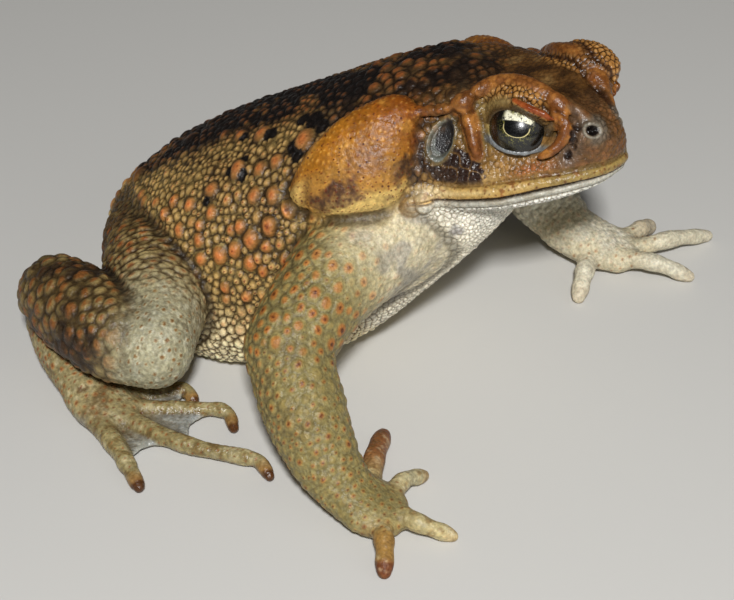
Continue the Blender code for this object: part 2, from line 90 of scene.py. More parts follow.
def unit(v):
    v = np.asarray(v, float)
    return v / np.linalg.norm(v, axis=-1, keepdims=True)


def smooth(low, high, value):
    """0 below low, 1 above high, and an even curve between. low may be the larger."""
    t = np.clip((value - low) / (high - low), 0, 1)
    return t * t * (3 - 2 * t)


def hump(value, middle, width):
    """1 at the middle, falling smoothly to 0 at width on either side."""
    return 1 - smooth(0, width, np.abs(value - middle))


def noise(points, scale, seed):
    """Smooth random values from -1 to 1, with features about scale millimetres across."""
    lattice = np.random.default_rng(SEED + seed).uniform(-1, 1, (NOISE_SIDE,) * 3)
    place = points / scale + 100.0
    cell = np.floor(place).astype(int)
    part = place - cell
    part = part * part * (3 - 2 * part)
    total = np.zeros(len(points))
    for i in (0, 1):
        for j in (0, 1):
            for k in (0, 1):
                sides = [part[:, n] if on else 1 - part[:, n] for n, on in enumerate((i, j, k))]
                x, y, z = ((cell + (i, j, k)) % NOISE_SIDE).T
                total += np.prod(sides, axis=0) * lattice[x, y, z]
    return total


def mixed_noise(points, scale, seed):
    """Noise with finer noise on it."""
    return (noise(points, scale, seed) + 0.5 * noise(points, scale / 2.1, seed + 1)
            + 0.25 * noise(points, scale / 4.3, seed + 2)) / 1.4


def tree_of(points):
    """The points, ready to be searched by distance."""
    tree = KDTree(len(points))
    for i, point in enumerate(points):
        tree.insert(point, i)
    tree.balance()
    return tree


# The head has its own frame at the neck.


def head_turn():
    turn = Matrix.Rotation(HEAD_YAW, 3, "Z") @ Matrix.Rotation(-HEAD_PITCH, 3, "Y")
    return np.array(turn @ Matrix.Rotation(HEAD_ROLL, 3, "X"))


def from_head(points):
    return np.asarray(points, float) @ head_turn().T + NECK


def to_head(points):
    return (np.asarray(points, float) - NECK) @ head_turn()


# Closed forms that are fused into the body.


def closed_over(rings):
    """A closed mesh over a row of rings, each an equal number of points, with its two ends capped."""
    rings = np.asarray(rings, float)
    count, sides = rings.shape[:2]
    mesh = bmesh.new()
    verts = [[mesh.verts.new(p * MM) for p in ring] for ring in rings]
    for i in range(count - 1):
        for j in range(sides):
            k = (j + 1) % sides
            mesh.faces.new((verts[i][j], verts[i][k], verts[i + 1][k], verts[i + 1][j]))
    mesh.faces.new(reversed(verts[0]))
    mesh.faces.new(verts[-1])
    bmesh.ops.recalc_face_normals(mesh, faces=mesh.faces)
    return mesh


def limb(knots, up=(0, 0, 1), sides=LIMB_SIDES):
    """A rounded limb through knots of (x, y, z, half width, half height), with domed ends."""
    path = through(knots, RINGS_PER_KNOT * (len(knots) - 1) + 1)
    tangent = unit(np.gradient(path[:, :3], axis=0))
    side = unit(np.cross(tangent, up))
    top = np.cross(side, tangent)
    around = np.linspace(0, 2 * math.pi, sides, endpoint=False)

    def ring(i, ahead, share):
        centre = path[i, :3] + tangent[i] * ahead
        return centre + share * (
            np.outer(np.cos(around) * path[i, 3], side[i]) + np.outer(np.sin(around) * path[i, 4], top[i])
        )

    dome = [math.radians(a) for a in (82, 65, 45, 22)]
    rings = [ring(0, -math.sin(a) * path[0, 3:].min(), math.cos(a)) for a in dome]
    rings += [ring(i, 0, 1) for i in range(len(path))]
    rings += [ring(-1, math.sin(a) * path[-1, 3:].min(), math.cos(a)) for a in reversed(dome)]
    return closed_over(rings)


def digit(knots):
    knots = np.array(knots, float)
    return limb(np.column_stack([knots, knots[:, 3]]), sides=DIGIT_SIDES)


def bent_power(value, power):
    """The power of the value's size, with its sign kept."""
    return np.sign(value) * np.abs(value) ** power


TRUNK_LINES = [
    # x, y of the middle, half width, z where widest, z of the back, z of the belly
    (-60.6, -3.6, 4.0, 14, 18.0, 10.0),
    (-58.2, -3.6, 11.0, 15, 23.5, 5.0),
    (-52.4, -3.4, 20.6, 16, 31.0, 1.0),
    (-44.0, -3.0, 27.6, 18, 38.5, -1.0),
    (-31.0, -3.0, 33.5, 19, 47.5, -2.5),
    (-16.0, -1.0, 35.3, 22, 55.5, -3.0),
    (-1.0, 1.0, 33.5, 30, 63.5, 1.0),
    (10.0, 2.5, 30.0, 39, 68.5, 9.0),
    (20.0, 3.5, 25.5, 46, 71.0, 20.0),
    (29.0, 3.0, 21.0, 50, 70.0, 31.0),
    (36.0, 2.0, 13.0, 52, 63.0, 41.0),
]
BACK_FULLNESS = 2.1
BELLY_FULLNESS = 3.8


def trunk_hull():
    rows = through(TRUNK_LINES, TRUNK_SECTIONS)
    angle = np.linspace(0, 2 * math.pi, TRUNK_SIDES, endpoint=False)
    bend = np.where(np.sin(angle) > 0, 2 / BACK_FULLNESS, 2 / BELLY_FULLNESS)
    across = bent_power(np.cos(angle), bend)
    upward = bent_power(np.sin(angle), bend)
    rings = []
    for x, middle, half, wide, back, belly in rows:
        rise = np.where(upward > 0, (back - wide) * upward, (wide - belly) * upward)
        y = half * across
        rings.append(np.column_stack([np.full_like(y, x), middle + y, wide + rise + y * BODY_LEAN]))
    return closed_over(rings)


HEAD_LINES = [
    # x, crown z, crest y and z, cheek y and z, lip y and z, jaw y and z, throat z
    (-12.0, 12.0, 10.0, 12.5, 17.0, 2.0, 19.0, -9.0, 16.0, -16.0, -22.0),
    (-4.0, 12.3, 11.5, 12.8, 19.6, 3.0, 21.2, -8.2, 19.6, -13.0, -20.0),
    (3.0, 11.8, 12.5, 12.6, 19.8, 3.5, 22.2, -7.4, 20.6, -11.5, -18.5),
    (10.0, 11.3, 12.0, 12.4, 18.6, 3.0, 21.4, -6.7, 19.8, -10.6, -16.5),
    (18.0, 11.0, 9.6, 13.4, 15.6, 2.2, 19.4, -5.9, 17.7, -9.6, -13.8),
    (25.0, 10.4, 7.8, 12.2, 12.2, 2.4, 16.0, -5.1, 14.2, -8.4, -11.2),
    (30.0, 8.8, 6.2, 10.0, 9.8, 3.0, 12.1, -4.4, 10.4, -7.2, -8.8),
    (33.4, 7.2, 5.0, 8.0, 8.0, 3.2, 8.4, -3.9, 6.9, -6.0, -7.0),
    (35.6, 5.1, 3.3, 5.4, 5.2, 2.7, 5.0, -3.0, 3.9, -4.4, -5.0),
    (36.9, 2.8, 1.4, 2.8, 2.2, 1.6, 2.0, -0.6, 1.4, -1.6, -2.0),
]
LEFT_DROOP = 1.9
LEFT_NARROWING = 2.0


def droop(h):
    """How much lower the left half of the snout lies than the right half."""
    x, y, z = h.T[:3]
    return LEFT_DROOP * smooth(1, 6, y) * smooth(20, 29, x) * smooth(0, 5, z)


def drooped(h):
    """The head's points with the left half of the snout lowered and drawn in."""
    h = np.array(h, float)
    h[:, 2] -= droop(h)
    h[:, 1] -= LEFT_NARROWING * smooth(2, 7, h[:, 1]) * smooth(25, 34, h[:, 0])
    return h


def head_hull():
    """The head without its eyelids: each section runs crown, crest, cheek, lip, jaw, throat."""
    rings = []
    for x, crown, *corners, throat in through(HEAD_LINES, HEAD_SECTIONS):
        half = list(zip(corners[::2], corners[1::2]))
        loop = [(0, crown)] + half + [(0, throat)] + [(-y, z) for y, z in reversed(half)]
        loop = loop[-2:] + loop + loop[:3]
        section = through(loop, (len(loop) - 1) * 4 + 1)[8:-9]
        rings.append(from_head(drooped(np.column_stack([np.full(len(section), x), section]))))
    return closed_over(rings)


def head_ball(centre, radii, side):
    """An ellipsoid along the head's axes."""
    middle = from_head(drooped(np.array([centre], float) * (1, side, 1)))[0]
    place = Matrix.Translation(Vector(middle * MM)) @ Matrix(head_turn()).to_4x4()
    place = place @ Matrix.Diagonal(Vector([*(r * MM for r in radii), 1]))
    mesh = bmesh.new()
    bmesh.ops.create_icosphere(mesh, subdivisions=4, radius=1, matrix=place)
    return mesh


def head_tube(knots, side, shift):
    """A thin limb on the head, mirrored to its side."""
    knots = np.array(knots, float)
    placed = from_head(drooped(knots[:, :3] * (1, side, 1)) + shift)
    return limb(np.column_stack([placed, knots[:, 3], knots[:, 3]]), up=head_turn()[:, 2], sides=RIDGE_SIDES)


# Bony ridges over and round each eye and the folds of the lids, as (x, y, z, half thickness).
CRESTS = {
    "brow": [(33.4, 5.4, 8.0, 0.7), (31.0, 7.0, 9.8, 1.0), (28.3, 8.4, 12.0, 1.2), (25.0, 9.0, 13.7, 1.3),
             (21.5, 9.5, 14.8, 1.3), (18.0, 10.0, 15.0, 1.3), (15.0, 11.2, 14.5, 1.3), (12.6, 13.0, 13.4, 1.3),
             (9.9, 15.7, 11.4, 1.4)],
    "fore": [(28.3, 8.6, 12.0, 1.1), (30.2, 9.3, 9.6, 1.2), (30.8, 10.0, 7.2, 1.2), (30.4, 11.0, 4.9, 1.2),
             (28.9, 12.7, 3.2, 1.1), (27.0, 13.9, 2.3, 0.8)],
    "hind": [(9.9, 15.7, 11.2, 1.4), (11.5, 16.5, 8.6, 1.3), (12.8, 17.3, 6.2, 1.2), (13.8, 18.0, 3.8, 1.1),
             (14.4, 18.4, 2.0, 0.8)],
    "ear": [(9.9, 15.7, 11.4, 1.4), (6.6, 17.8, 10.2, 1.3), (3.4, 19.4, 9.8, 1.4), (0.4, 20.6, 9.6, 1.4)],
    "lid": [(21.9, 14.3, 13.3, 0.1), (23.9, 14.4, 12.8, 0.25), (26.0, 14.1, 12.0, 0.4), (28.2, 12.9, 10.8, 0.5),
            (29.6, 11.6, 9.3, 0.45)],
}
# How far each side's ridges stand off that place.
CREST_SHIFTS = {
    -1: {"brow": (0, 0, 0.5), "lid": (0, -0.2, 0.4), "fore": (0.0, -0.4, 0)},
    1: {"brow": (0, 0, -0.3), "lid": (0, -0.6, -0.6), "fore": (-1.6, -0.8, 0), "ear": (0, -0.6, -1.3)},
}
# Balls as a centre and radii: each side's lid dome and swelling by the nostril, and the bed of the eye.
DOMES = {-1: ((20.0, 10.4, 7.9), (9.0, 6.3, 7.6)), 1: ((21.0, 11.8, 9.2), (8.6, 6.6, 7.4))}
SNOUT_SWELLS = {-1: ((31.8, 6.4, 5.0), (3.6, 3.5, 3.8)), 1: ((30.2, 5.4, 4.2), (3.4, 3.3, 3.4))}
EYE_BED = ((14.6, 11.6, 5.0), (5.2, 4.7, 5.8))
# The two round knobs at the corner of the jaw, and their radii.
JAW_KNOBS = [((4.2, 23.9, -8.8), 2.1), ((1.5, 24.8, -9.4), 2.5)]


def crest_shift(name, side):
    return CREST_SHIFTS[side].get(name, (0, 0, 0))


def head_forms():
    forms = [head_hull()]
    for _, side in SIDES:
        forms += [head_ball(*shape, side) for shape in (DOMES[side], EYE_BED, SNOUT_SWELLS[side])]
        forms += [head_tube(knots, side, crest_shift(name, side)) for name, knots in CRESTS.items()]
        forms += [head_ball(centre, (size, 0.9 * size, size), side) for centre, size in JAW_KNOBS]
    return forms


GLAND_LINES = [
    # x, y and z of the top edge, y and z of the bottom edge, half thickness
    (-3.2, -27.3, 53.0, -28.2, 49.0, 1.6),
    (-1.0, -25.0, 59.0, -28.6, 47.8, 3.4),
    (4.0, -20.4, 65.3, -29.3, 47.6, 5.2),
    (9.0, -16.2, 68.6, -28.8, 48.3, 6.0),
    (14.0, -13.4, 70.4, -27.4, 49.4, 5.8),
    (17.2, -13.4, 70.0, -25.6, 50.6, 4.8),
    (19.0, -15.5, 67.6, -24.6, 52.6, 3.2),
    (20.2, -18.0, 63.5, -23.2, 55.5, 1.4),
]
LEFT_GLAND_SHIFT = (7.8, 4.5, -4.5)
GLAND_FULLNESS = 2.5


def gland(side):
    """The long gland behind the eye, a pillow leaning against the shoulder."""
    angle = np.linspace(0, 2 * math.pi, GLAND_SIDES, endpoint=False)
    along = bent_power(np.cos(angle), 2 / GLAND_FULLNESS)
    across = bent_power(np.sin(angle), 2 / GLAND_FULLNESS)
    rings = []
    for x, top_y, top_z, low_y, low_z, thick in through(GLAND_LINES, GLAND_SECTIONS):
        top, low = np.array([x, top_y, top_z]), np.array([x, low_y, low_z])
        out = unit(np.cross(top - low, (1, 0, 0)))
        rings.append((top + low) / 2 + np.outer(along, (top - low) / 2) + np.outer(across, out * thick))
    rings = np.array(rings)
    if side > 0:
        rings = rings * (1, -1, 1) + LEFT_GLAND_SHIFT
    return closed_over(rings)


# Each limb's knots are (x, y, z, half width, half height). A digit's are (x, y, z, half thickness).
ARMS = {
    "right": {
        "upper": [(14, -18, 40, 12, 12), (8.5, -36, 35, 10.0, 10.5), (6, -50, 28.5, 8.8, 9.2)],
        "fore": [(6, -50, 27.5, 8.6, 9.2), (13, -56.6, 19.5, 8.6, 8.8), (19.2, -60.8, 12.5, 7.4, 7.0),
                 (25, -63, 7.5, 6.2, 4.8)],
        "palm": [(25, -63, 7.0, 6.2, 4.6), (31, -63, 4.6, 7.4, 4.0), (35, -62.5, 3.4, 6.4, 3.4)],
        "fingers": [
            [(28, -58, 4.0, 2.6), (24.6, -48, 4.2, 2.3), (22.1, -38.8, 1.8, 2.2)],
            [(33, -59, 4.2, 2.4), (33.2, -52.7, 4.4, 1.9), (35.0, -46.6, 1.5, 1.8)],
            [(36, -62, 4.2, 2.4), (41.8, -63.0, 4.2, 2.0), (47.8, -60.9, 1.5, 1.8)],
            [(34, -66, 4.0, 2.4), (37.5, -71, 4.2, 2.1), (39.8, -76.0, 1.6, 2.0)],
        ],
    },
    "left": {
        "upper": [(20, 20, 40, 12, 12), (15, 38, 33, 10.5, 10.5), (12, 50, 26, 9.5, 9.5)],
        "fore": [(12, 50, 25, 9.2, 9.2), (17, 48, 18, 9.0, 8.8), (24, 45, 13, 8.0, 7.6),
                 (31, 43, 8.5, 6.8, 5.8)],
        "palm": [(31, 42, 8.0, 6.8, 5.4), (39, 42, 5.2, 7.6, 4.4), (46, 43, 3.6, 7.0, 3.6)],
        "fingers": [
            [(40, 37, 4.2, 2.6), (41, 31, 4.2, 2.3), (42, 25.0, 1.7, 2.1)],
            [(47, 40, 4.2, 2.4), (55, 40.8, 4.6, 2.1), (62.4, 43.0, 1.5, 1.9)],
            [(48, 44, 4.2, 2.4), (55, 51.5, 4.6, 2.1), (61.2, 60.6, 1.5, 1.8)],
            [(45, 48, 4.2, 2.4), (47, 53, 4.4, 2.1), (47.5, 58.5, 1.6, 2.0)],
        ],
    },
}

LEGS = {
    "right": {
        "thigh": [(-44, -17, 20, 11.5, 12.5), (-33.5, -34, 22.4, 11.6, 12.2), (-24.2, -51.8, 21.3, 8.6, 9.0)],
        "shank": [(-24.1, -53.0, 20.1, 8.4, 8.6), (-36, -52, 21, 9.8, 10), (-51, -45, 20, 9.0, 9.4),
                  (-60, -39.5, 14.5, 6, 7)],
        "ankle": [(-60, -40, 11.5, 5.2, 6.0), (-52, -48, 8, 5.0, 5.4), (-41, -54, 5, 5.8, 4.4)],
        "sole": [(-42, -54, 4.6, 5.8, 4.4), (-36, -56, 3.4, 7.2, 3.8), (-31, -57, 2.6, 6.6, 3.0)],
        "toes": [
            [(-38, -51, 2.8, 2.3), (-32, -47, 2.4, 2.0), (-28, -43.5, 1.5, 1.9)],
            [(-35, -52, 2.8, 2.3), (-28.5, -47.0, 2.6, 1.9), (-23.6, -43.2, 2.6, 1.7),
             (-20.0, -45.0, 1.4, 1.6)],
            [(-33, -54.5, 2.8, 2.4), (-24, -51.0, 2.8, 1.9), (-15.3, -47.0, 2.8, 1.7), (-11.2, -46.2, 2.6, 1.6),
             (-8.2, -49.2, 1.4, 1.6)],
            [(-32, -57, 2.8, 2.5), (-20, -59.0, 2.8, 2.1), (-11.4, -59.3, 2.7, 1.9), (-2, -57.9, 2.6, 1.8),
             (2.4, -57.6, 2.5, 1.7), (5.9, -59.8, 1.4, 1.6)],
            [(-36, -60, 2.8, 2.6), (-24.8, -67.9, 2.6, 2.1), (-17.2, -74.0, 1.5, 1.8)],
        ],
    },
    "left": {
        "thigh": [(-44, 11, 20, 11.5, 12.5), (-28, 30, 20, 12, 12), (-10, 44, 16, 9.8, 9.8)],
        "shank": [(-10, 45, 15, 9.0, 9.0), (-26, 44, 16, 9.8, 9.6), (-43, 40, 14, 9.0, 9.0),
                  (-54, 35, 10, 6, 6.5)],
        "ankle": [(-54, 36, 9.0, 5.2, 5.8), (-45, 45, 6.5, 5.0, 5.0), (-36, 52, 5, 5.8, 4.4)],
        "sole": [(-36, 52, 4.6, 5.8, 4.4), (-30, 54, 3.4, 7.2, 3.8), (-25, 55, 2.6, 6.6, 3.0)],
        "toes": [
            [(-32, 49, 2.8, 2.3), (-26, 45, 2.4, 2.0), (-21, 42.5, 1.5, 1.9)],
            [(-29, 50, 2.8, 2.4), (-21, 47.5, 2.6, 2.1), (-14.0, 46.0, 1.5, 1.9)],
            [(-27, 53, 2.8, 2.4), (-14, 52, 2.8, 2.0), (-2.5, 51.0, 1.4, 1.8)],
            [(-26, 56, 2.8, 2.5), (-12, 57.5, 2.8, 2.1), (0, 58.5, 2.4, 1.9), (9.0, 58.5, 1.4, 1.8)],
            [(-29, 58.5, 2.8, 2.6), (-20.5, 64.0, 2.6, 2.3), (-12, 68.5, 1.6, 2.0)],
        ],
    },
}
DIGITS = ("fingers", "toes")
# How far each web reaches along its own toe and along the next one.
WEB_REACHES = [(0.6, 0.5), (0.72, 0.45), (0.56, 0.36), (0.3, 0.6)]
WEB_HALF_THICKNESS = 0.6


def web(toe, next_toe, reaches):
    """The skin between two toes, its free edge curved in."""
    along, across = np.linspace(0.08, 1, 9), np.linspace(0, 1, 9)
    fine = [through(np.array(knots)[:, :3], 101) for knots in (toe, next_toe)]
    rings = []
    for t in along:
        hollow = 100 * t * (1 - 0.9 * across * (1 - across))
        own, other = ((hollow * reach).astype(int) for reach in reaches)
        line = fine[0][own] * (1 - across[:, None]) + fine[1][other] * across[:, None]
        line[:, 2] *= 0.75
        lift = np.array([0, 0, WEB_HALF_THICKNESS])
        rings.append(np.vstack([line + lift, (line - lift)[::-1]]))
    return closed_over(rings)


def body_forms():
    forms = [trunk_hull()] + head_forms() + [gland(-1), gland(1)]
    for side, _ in SIDES:
        for part, knots in {**ARMS[side], **LEGS[side]}.items():
            forms += [digit(k) for k in knots] if part in DIGITS else [limb(knots)]
        toes = LEGS[side]["toes"]
        forms += [web(a, b, reaches) for a, b, reaches in zip(toes, toes[1:], WEB_REACHES)]
    return forms


def object_from(name, mesh):
    data = bpy.data.meshes.new(name)
    mesh.to_mesh(data)
    mesh.free()
    obj = bpy.data.objects.new(name, data)
    bpy.context.scene.collection.objects.link(obj)
    return obj


def fused(name, forms, voxel):
    """One closed surface round all the forms."""
    whole = bmesh.new()
    for form in forms:
        data = bpy.data.meshes.new("form")
        form.to_mesh(data)
        form.free()
        whole.from_mesh(data)
        bpy.data.meshes.remove(data)
    obj = object_from(name, whole)
    remesh = obj.modifiers.new("fuse", "REMESH")
    remesh.mode = "VOXEL"
    remesh.voxel_size = voxel * MM
    graph = bpy.context.evaluated_depsgraph_get()
    data = bpy.data.meshes.new_from_object(obj.evaluated_get(graph))
    obj.modifiers.clear()
    obj.data = data
    return obj


def read_rows(items, name, width, kind=float):
    flat = np.empty(width * len(items), kind)
    items.foreach_get(name, flat)
    return flat.reshape(-1, width)


def read_points(obj):
    return read_rows(obj.data.vertices, "co", 3) / MM


def write_points(obj, points):
    obj.data.vertices.foreach_set("co", (points * MM).ravel())
    obj.data.update()


def read_edges(obj):
    return read_rows(obj.data.edges, "vertices", 2, int)


def read_normals(obj):
    return read_rows(obj.data.vertex_normals, "vector", 3)


def relaxed(points, edges, weight, rounds):
    """Points drawn towards their neighbours' middle, as far as each one's weight lets them."""
    count = len(points)
    start, end = edges.T
    degree = np.bincount(edges.ravel(), minlength=count)[:, None]
    share = 0.5 * weight[:, None] / np.maximum(degree, 1)
    for _ in range(rounds):
        total = np.column_stack([np.bincount(start, points[end, k], count)
                                 + np.bincount(end, points[start, k], count) for k in range(3)])
        points = points + share * (total - degree * points)
    return points


def finer_where(obj, chosen):
    """Splits every face whose corners are all chosen into four."""
    mesh = bmesh.new()
    mesh.from_mesh(obj.data)
    mesh.verts.ensure_lookup_table()
    faces = [face for face in mesh.faces if all(chosen[v.index] for v in face.verts)]
    edges = {edge for face in faces for edge in face.edges}
    bmesh.ops.subdivide_edges(mesh, edges=list(edges), cuts=1, use_grid_fill=True)
    mesh.to_mesh(obj.data)
    mesh.free()


# Where each point of the skin lies on the body.


class Place:
    """One part of the body as seen from every point: how far off it is, and where along it."""

    def __init__(self, distance, along=None, around=None, which=0):
        self.distance = distance
        self.which = which
        self.along = np.zeros_like(distance) if along is None else along
        self.around = np.zeros_like(distance) if around is None else around


def limb_place(points, knots, reach=12.0):
    """A limb as seen from the points within reach of it. The others see it as far away."""
    knots = np.array(knots, float)
    if knots.shape[1] == 4:
        knots = np.column_stack([knots, knots[:, 3]])
    path = through(knots, 10 * (len(knots) - 1) + 1)
    radius = path[:, 3:].mean(axis=1)
    tangent = unit(np.gradient(path[:, :3], axis=0))
    side = unit(np.cross(tangent, (0, 0, 1)))
    top = np.cross(side, tangent)
    place = Place(np.full(len(points), FAR))
    margin = reach + radius.max()
    low, high = path[:, :3].min(axis=0) - margin, path[:, :3].max(axis=0) + margin
    near = np.flatnonzero(((points > low) & (points < high)).all(axis=1))
    off = np.linalg.norm(points[near, None] - path[None, :, :3], axis=2) - radius
    best = off.argmin(axis=1)
    gap = points[near] - path[best, :3]
    ahead = (gap * tangent[best]).sum(axis=1)
    step = np.linalg.norm(np.diff(path[:, :3], axis=0), axis=1).mean()
    place.distance[near] = off[np.arange(len(near)), best]
    place.along[near] = np.clip(best + ahead / step, 0, len(path) - 1) / (len(path) - 1)
    place.around[near] = np.arctan2((gap * top[best]).sum(axis=1), (gap * side[best]).sum(axis=1))
    return place


def nearest_place(places):
    """Several parts taken together, each point seeing the nearest."""
    distance = np.array([p.distance for p in places])
    best = distance.argmin(axis=0)
    pick = np.arange(distance.shape[1])
    along, around = (np.array([getattr(p, k) for p in places])[best, pick] for k in ("along", "around"))
    return Place(distance[best, pick], along, around, best)


def trunk_place(points):
    rows = through(TRUNK_LINES, TRUNK_SECTIONS)
    x, y, z = points.T
    middle, half, wide, back, belly = (np.interp(x, rows[:, 0], rows[:, k]) for k in range(1, 6))
    rise = z - wide - (y - middle) * BODY_LEAN
    high = np.where(rise > 0, back - wide, wide - belly)
    size = np.hypot((y - middle) / half, rise / high)
    past = np.maximum(rows[0, 0] - x, 0) + np.maximum(x - rows[-1, 0], 0)
    return Place((size - 1) * np.minimum(half, high) + past)


def head_place(h):
    rows = through(HEAD_LINES, HEAD_SECTIONS)
    x, y, z = h.T
    crown, half, throat = (np.interp(x, rows[:, 0], rows[:, k]) for k in (1, 6, 10))
    middle, high = (crown + throat) / 2, (crown - throat) / 2
    size = np.hypot(y / half, (z - middle) / high)
    past = np.maximum(-3 - x, 0) * 1.6 + np.maximum(x - rows[-1, 0], 0)
    return Place((size - 1) * np.minimum(half, high) + past - 1.0)


def gland_place(points, side):
    local = points if side < 0 else (points - LEFT_GLAND_SHIFT) * (1, -1, 1)
    rows = through(GLAND_LINES, 60)
    top_y, top_z, low_y, low_z, thick = (np.interp(local[:, 0], rows[:, 0], rows[:, k]) for k in range(1, 6))
    top, low = np.column_stack([top_y, top_z]), np.column_stack([low_y, low_z])
    long = np.linalg.norm(top - low, axis=1)
    down = (low - top) / long[:, None]
    gap = local[:, 1:] - (top + low) / 2
    lengthwise = (gap * down).sum(axis=1)
    out = gap[:, 0] * down[:, 1] - gap[:, 1] * down[:, 0]
    size = np.hypot(lengthwise / (long / 2), out / thick)
    past = np.maximum(rows[0, 0] - local[:, 0], 0) + np.maximum(local[:, 0] - rows[-1, 0], 0)
    return Place((size - 1) * thick + past, lengthwise / long + 0.5, (local[:, 0] + 3) / 25)


def find_places(points):
    h = to_head(points)
    places = {"trunk": trunk_place(points), "head": head_place(h)}
    for name, side in SIDES:
        places["gland_" + name] = gland_place(points, side)
        for part, knots in {**ARMS[name], **LEGS[name]}.items():
            paths = knots if part in DIGITS else [knots]
            places[part + "_" + name] = nearest_place([limb_place(points, path) for path in paths])
    return places


# The depth in millimetres over which one part's weight gives way to the next one's.
PART_BLEND = 1.1
PAIRED = ("gland", "upper", "fore", "palm", "fingers", "thigh", "shank", "ankle", "sole", "toes")
PARTS = {"trunk": ["trunk"], "head": ["head"], **{part: [part + "_right", part + "_left"] for part in PAIRED}}


def part_shares(places):
    """How much each point belongs to each kind of part, adding up to 1."""
    nearest = {kind: nearest_place([places[n] for n in names]) for kind, names in PARTS.items()}
    pull = {kind: np.exp(-np.clip(place.distance, -6, 40) / PART_BLEND) for kind, place in nearest.items()}
    total = sum(pull.values())
    return nearest, {kind: value / total for kind, value in pull.items()}


# The head's features, placed by moving points. The two sides are counted alike, with y outwards.

# Rows of x and z, and of x and thickness.
MOUTH_LINE = np.array([(2, -8.5), (4.2, -8.3), (11.8, -7.7), (19.9, -6.6), (26.9, -4.9), (32.7, -4.1),
                       (38, -3.9)])
LIP_THICKNESS = np.array([(4, 3.4), (10, 2.7), (20, 2.9), (30, 2.2), (36, 2.2)])
LOWER_LIP = 1.6
EYE_TILT = math.radians(10)
# Half the length of the lids' opening, and its height above and below the eye's middle.
OPENING = (5.9, 4.2, 3.9)
OPENING_FULLNESS = 2.3
PUPIL = (0.4, 1.2)
NOSTRIL = np.array([34.0, 5.2, 5.9])
NOSTRIL_FACE = (0.5, 0.82, 0.3)
NOSTRIL_REACH = 4.0
EARDRUM = (2.2, 3.5)


def outward_head(points):
    """The points in the head's frame, with y outwards on both sides."""
    h = to_head(points)
    h[:, 1] = np.abs(h[:, 1])
    return h


def level_head(points):
    """The same with the left half's droop taken out."""
    h = to_head(points)
    h[:, 2] += droop(h)
    h[:, 1] = np.abs(h[:, 1])
    return h


def crest_gap(points, name):
    """How far each point is off one of the ridges, on its own side of the head."""
    h = to_head(points)
    h[:, 2] += droop(h)
    gap = np.full(len(points), FAR)
    for _, side in SIDES:
        mine = h[:, 1] * side > 0
        local = (h[mine] - crest_shift(name, side)) * (1, side, 1)
        gap[mine] = limb_place(local, CRESTS[name], reach=3).distance
    return gap


def neck_folds(points, h):
    """1 on the folds that run down between the gland and the corner of the mouth, 0 in their grooves."""
    return ridges((h[:, 0] + 0.22 * h[:, 2]) / 2.0 + 0.35 * noise(points, 4, 41), 0.8)


def on_neck_folds(h):
    """1 in the middle of the patch where the neck is folded."""
    return hump(h[:, 0], 1.0, 5.0) * hump(h[:, 2], -0.5, 11) * smooth(13, 16, h[:, 1])


def ear_ring(h, ahead=0.0, above=0.0):
    """1 at the eardrum's edge. ahead and above move its middle."""
    x, y, z = h.T
    ring = np.hypot((x - EAR_CENTRE[0] - ahead) / EARDRUM[0], (z - EAR_CENTRE[2] - above) / EARDRUM[1])
    return ring + FAR * (y < 15)


def lid_ring(h):
    """1 at the edge of the upper lid's dome, seen from above."""
    return np.hypot((h[:, 0] - 21) / 10, (h[:, 1] - 12.5) / 6.5)


def eye_axes():
    """The ways the eye looks, forward along its opening and up across it."""
    look = unit(EYE_LOOK)
    up = unit(np.array([0, 0, 1.0]) - look[2] * look)
    ahead = np.cross(look, up)
    level, rise = math.cos(EYE_TILT), math.sin(EYE_TILT)
    return look, ahead * level - up * rise, up * level + ahead * rise


def round_eye(h):
    """For each point: 1 at the edge of the eye's opening, the way up from its middle, and the distance out."""
    look, ahead, up = eye_axes()
    out = h - EYE_CENTRE
    far = np.linalg.norm(out, axis=1)
    ray = out / far[:, None]
    off = (ray - look) * EYE_RADIUS
    along, above = off @ ahead, off @ up
    long, high, low = OPENING
    ring = (np.abs(along / long) ** OPENING_FULLNESS
            + np.abs(above / np.where(above > 0, high, low)) ** OPENING_FULLNESS) ** (1 / OPENING_FULLNESS)
    ring[(ray @ look < -0.2) | (far > EYE_RADIUS + 4.5)] = FAR
    return ring, above, far, ray


def open_eyes(points):
    """Sinks the skin over each eye behind the eyeball and raises the rims of the lids."""
    h = outward_head(points)
    ring, _, far, ray = round_eye(h)
    inside, rim = EYE_RADIUS - 1.0, EYE_RADIUS + 0.4
    hole = inside + (rim - inside) * smooth(0.88, 1.0, ring)
    hold = (1 - smooth(1.06, 1.3, ring)) * smooth(11.4, 9.5, far)
    hold *= smooth(0.3, 1.5, np.min([crest_gap(points, name) for name in ("lid", "fore", "hind")], axis=0))
    target = far + (hole - far) * hold + 0.22 * hump(ring, 1.1, 0.12) * hold
    moved = hold > 0
    h[moved] = EYE_CENTRE + ray[moved] * target[moved, None]
    h[:, 1] *= np.sign(to_head(points)[:, 1])
    placed = points.copy()
    placed[moved] = from_head(h[moved])
    return placed


def off_ahead(h):
    """How far ahead of the eye's middle each point is, in millimetres."""
    return (h - EYE_CENTRE) @ eye_axes()[1]


def mouth_height(h):
    """How far above the line of the mouth each point is."""
    return h[:, 2] - np.interp(h[:, 0], *MOUTH_LINE.T)


def knob_cover(h, beyond=0.0):
    """1 on the two round knobs at the corner of the jaw."""
    return np.max([smooth(size + 0.3 + beyond, size - 1.0 + beyond, np.linalg.norm(h - centre, axis=1))
                   for centre, size in JAW_KNOBS], axis=0)


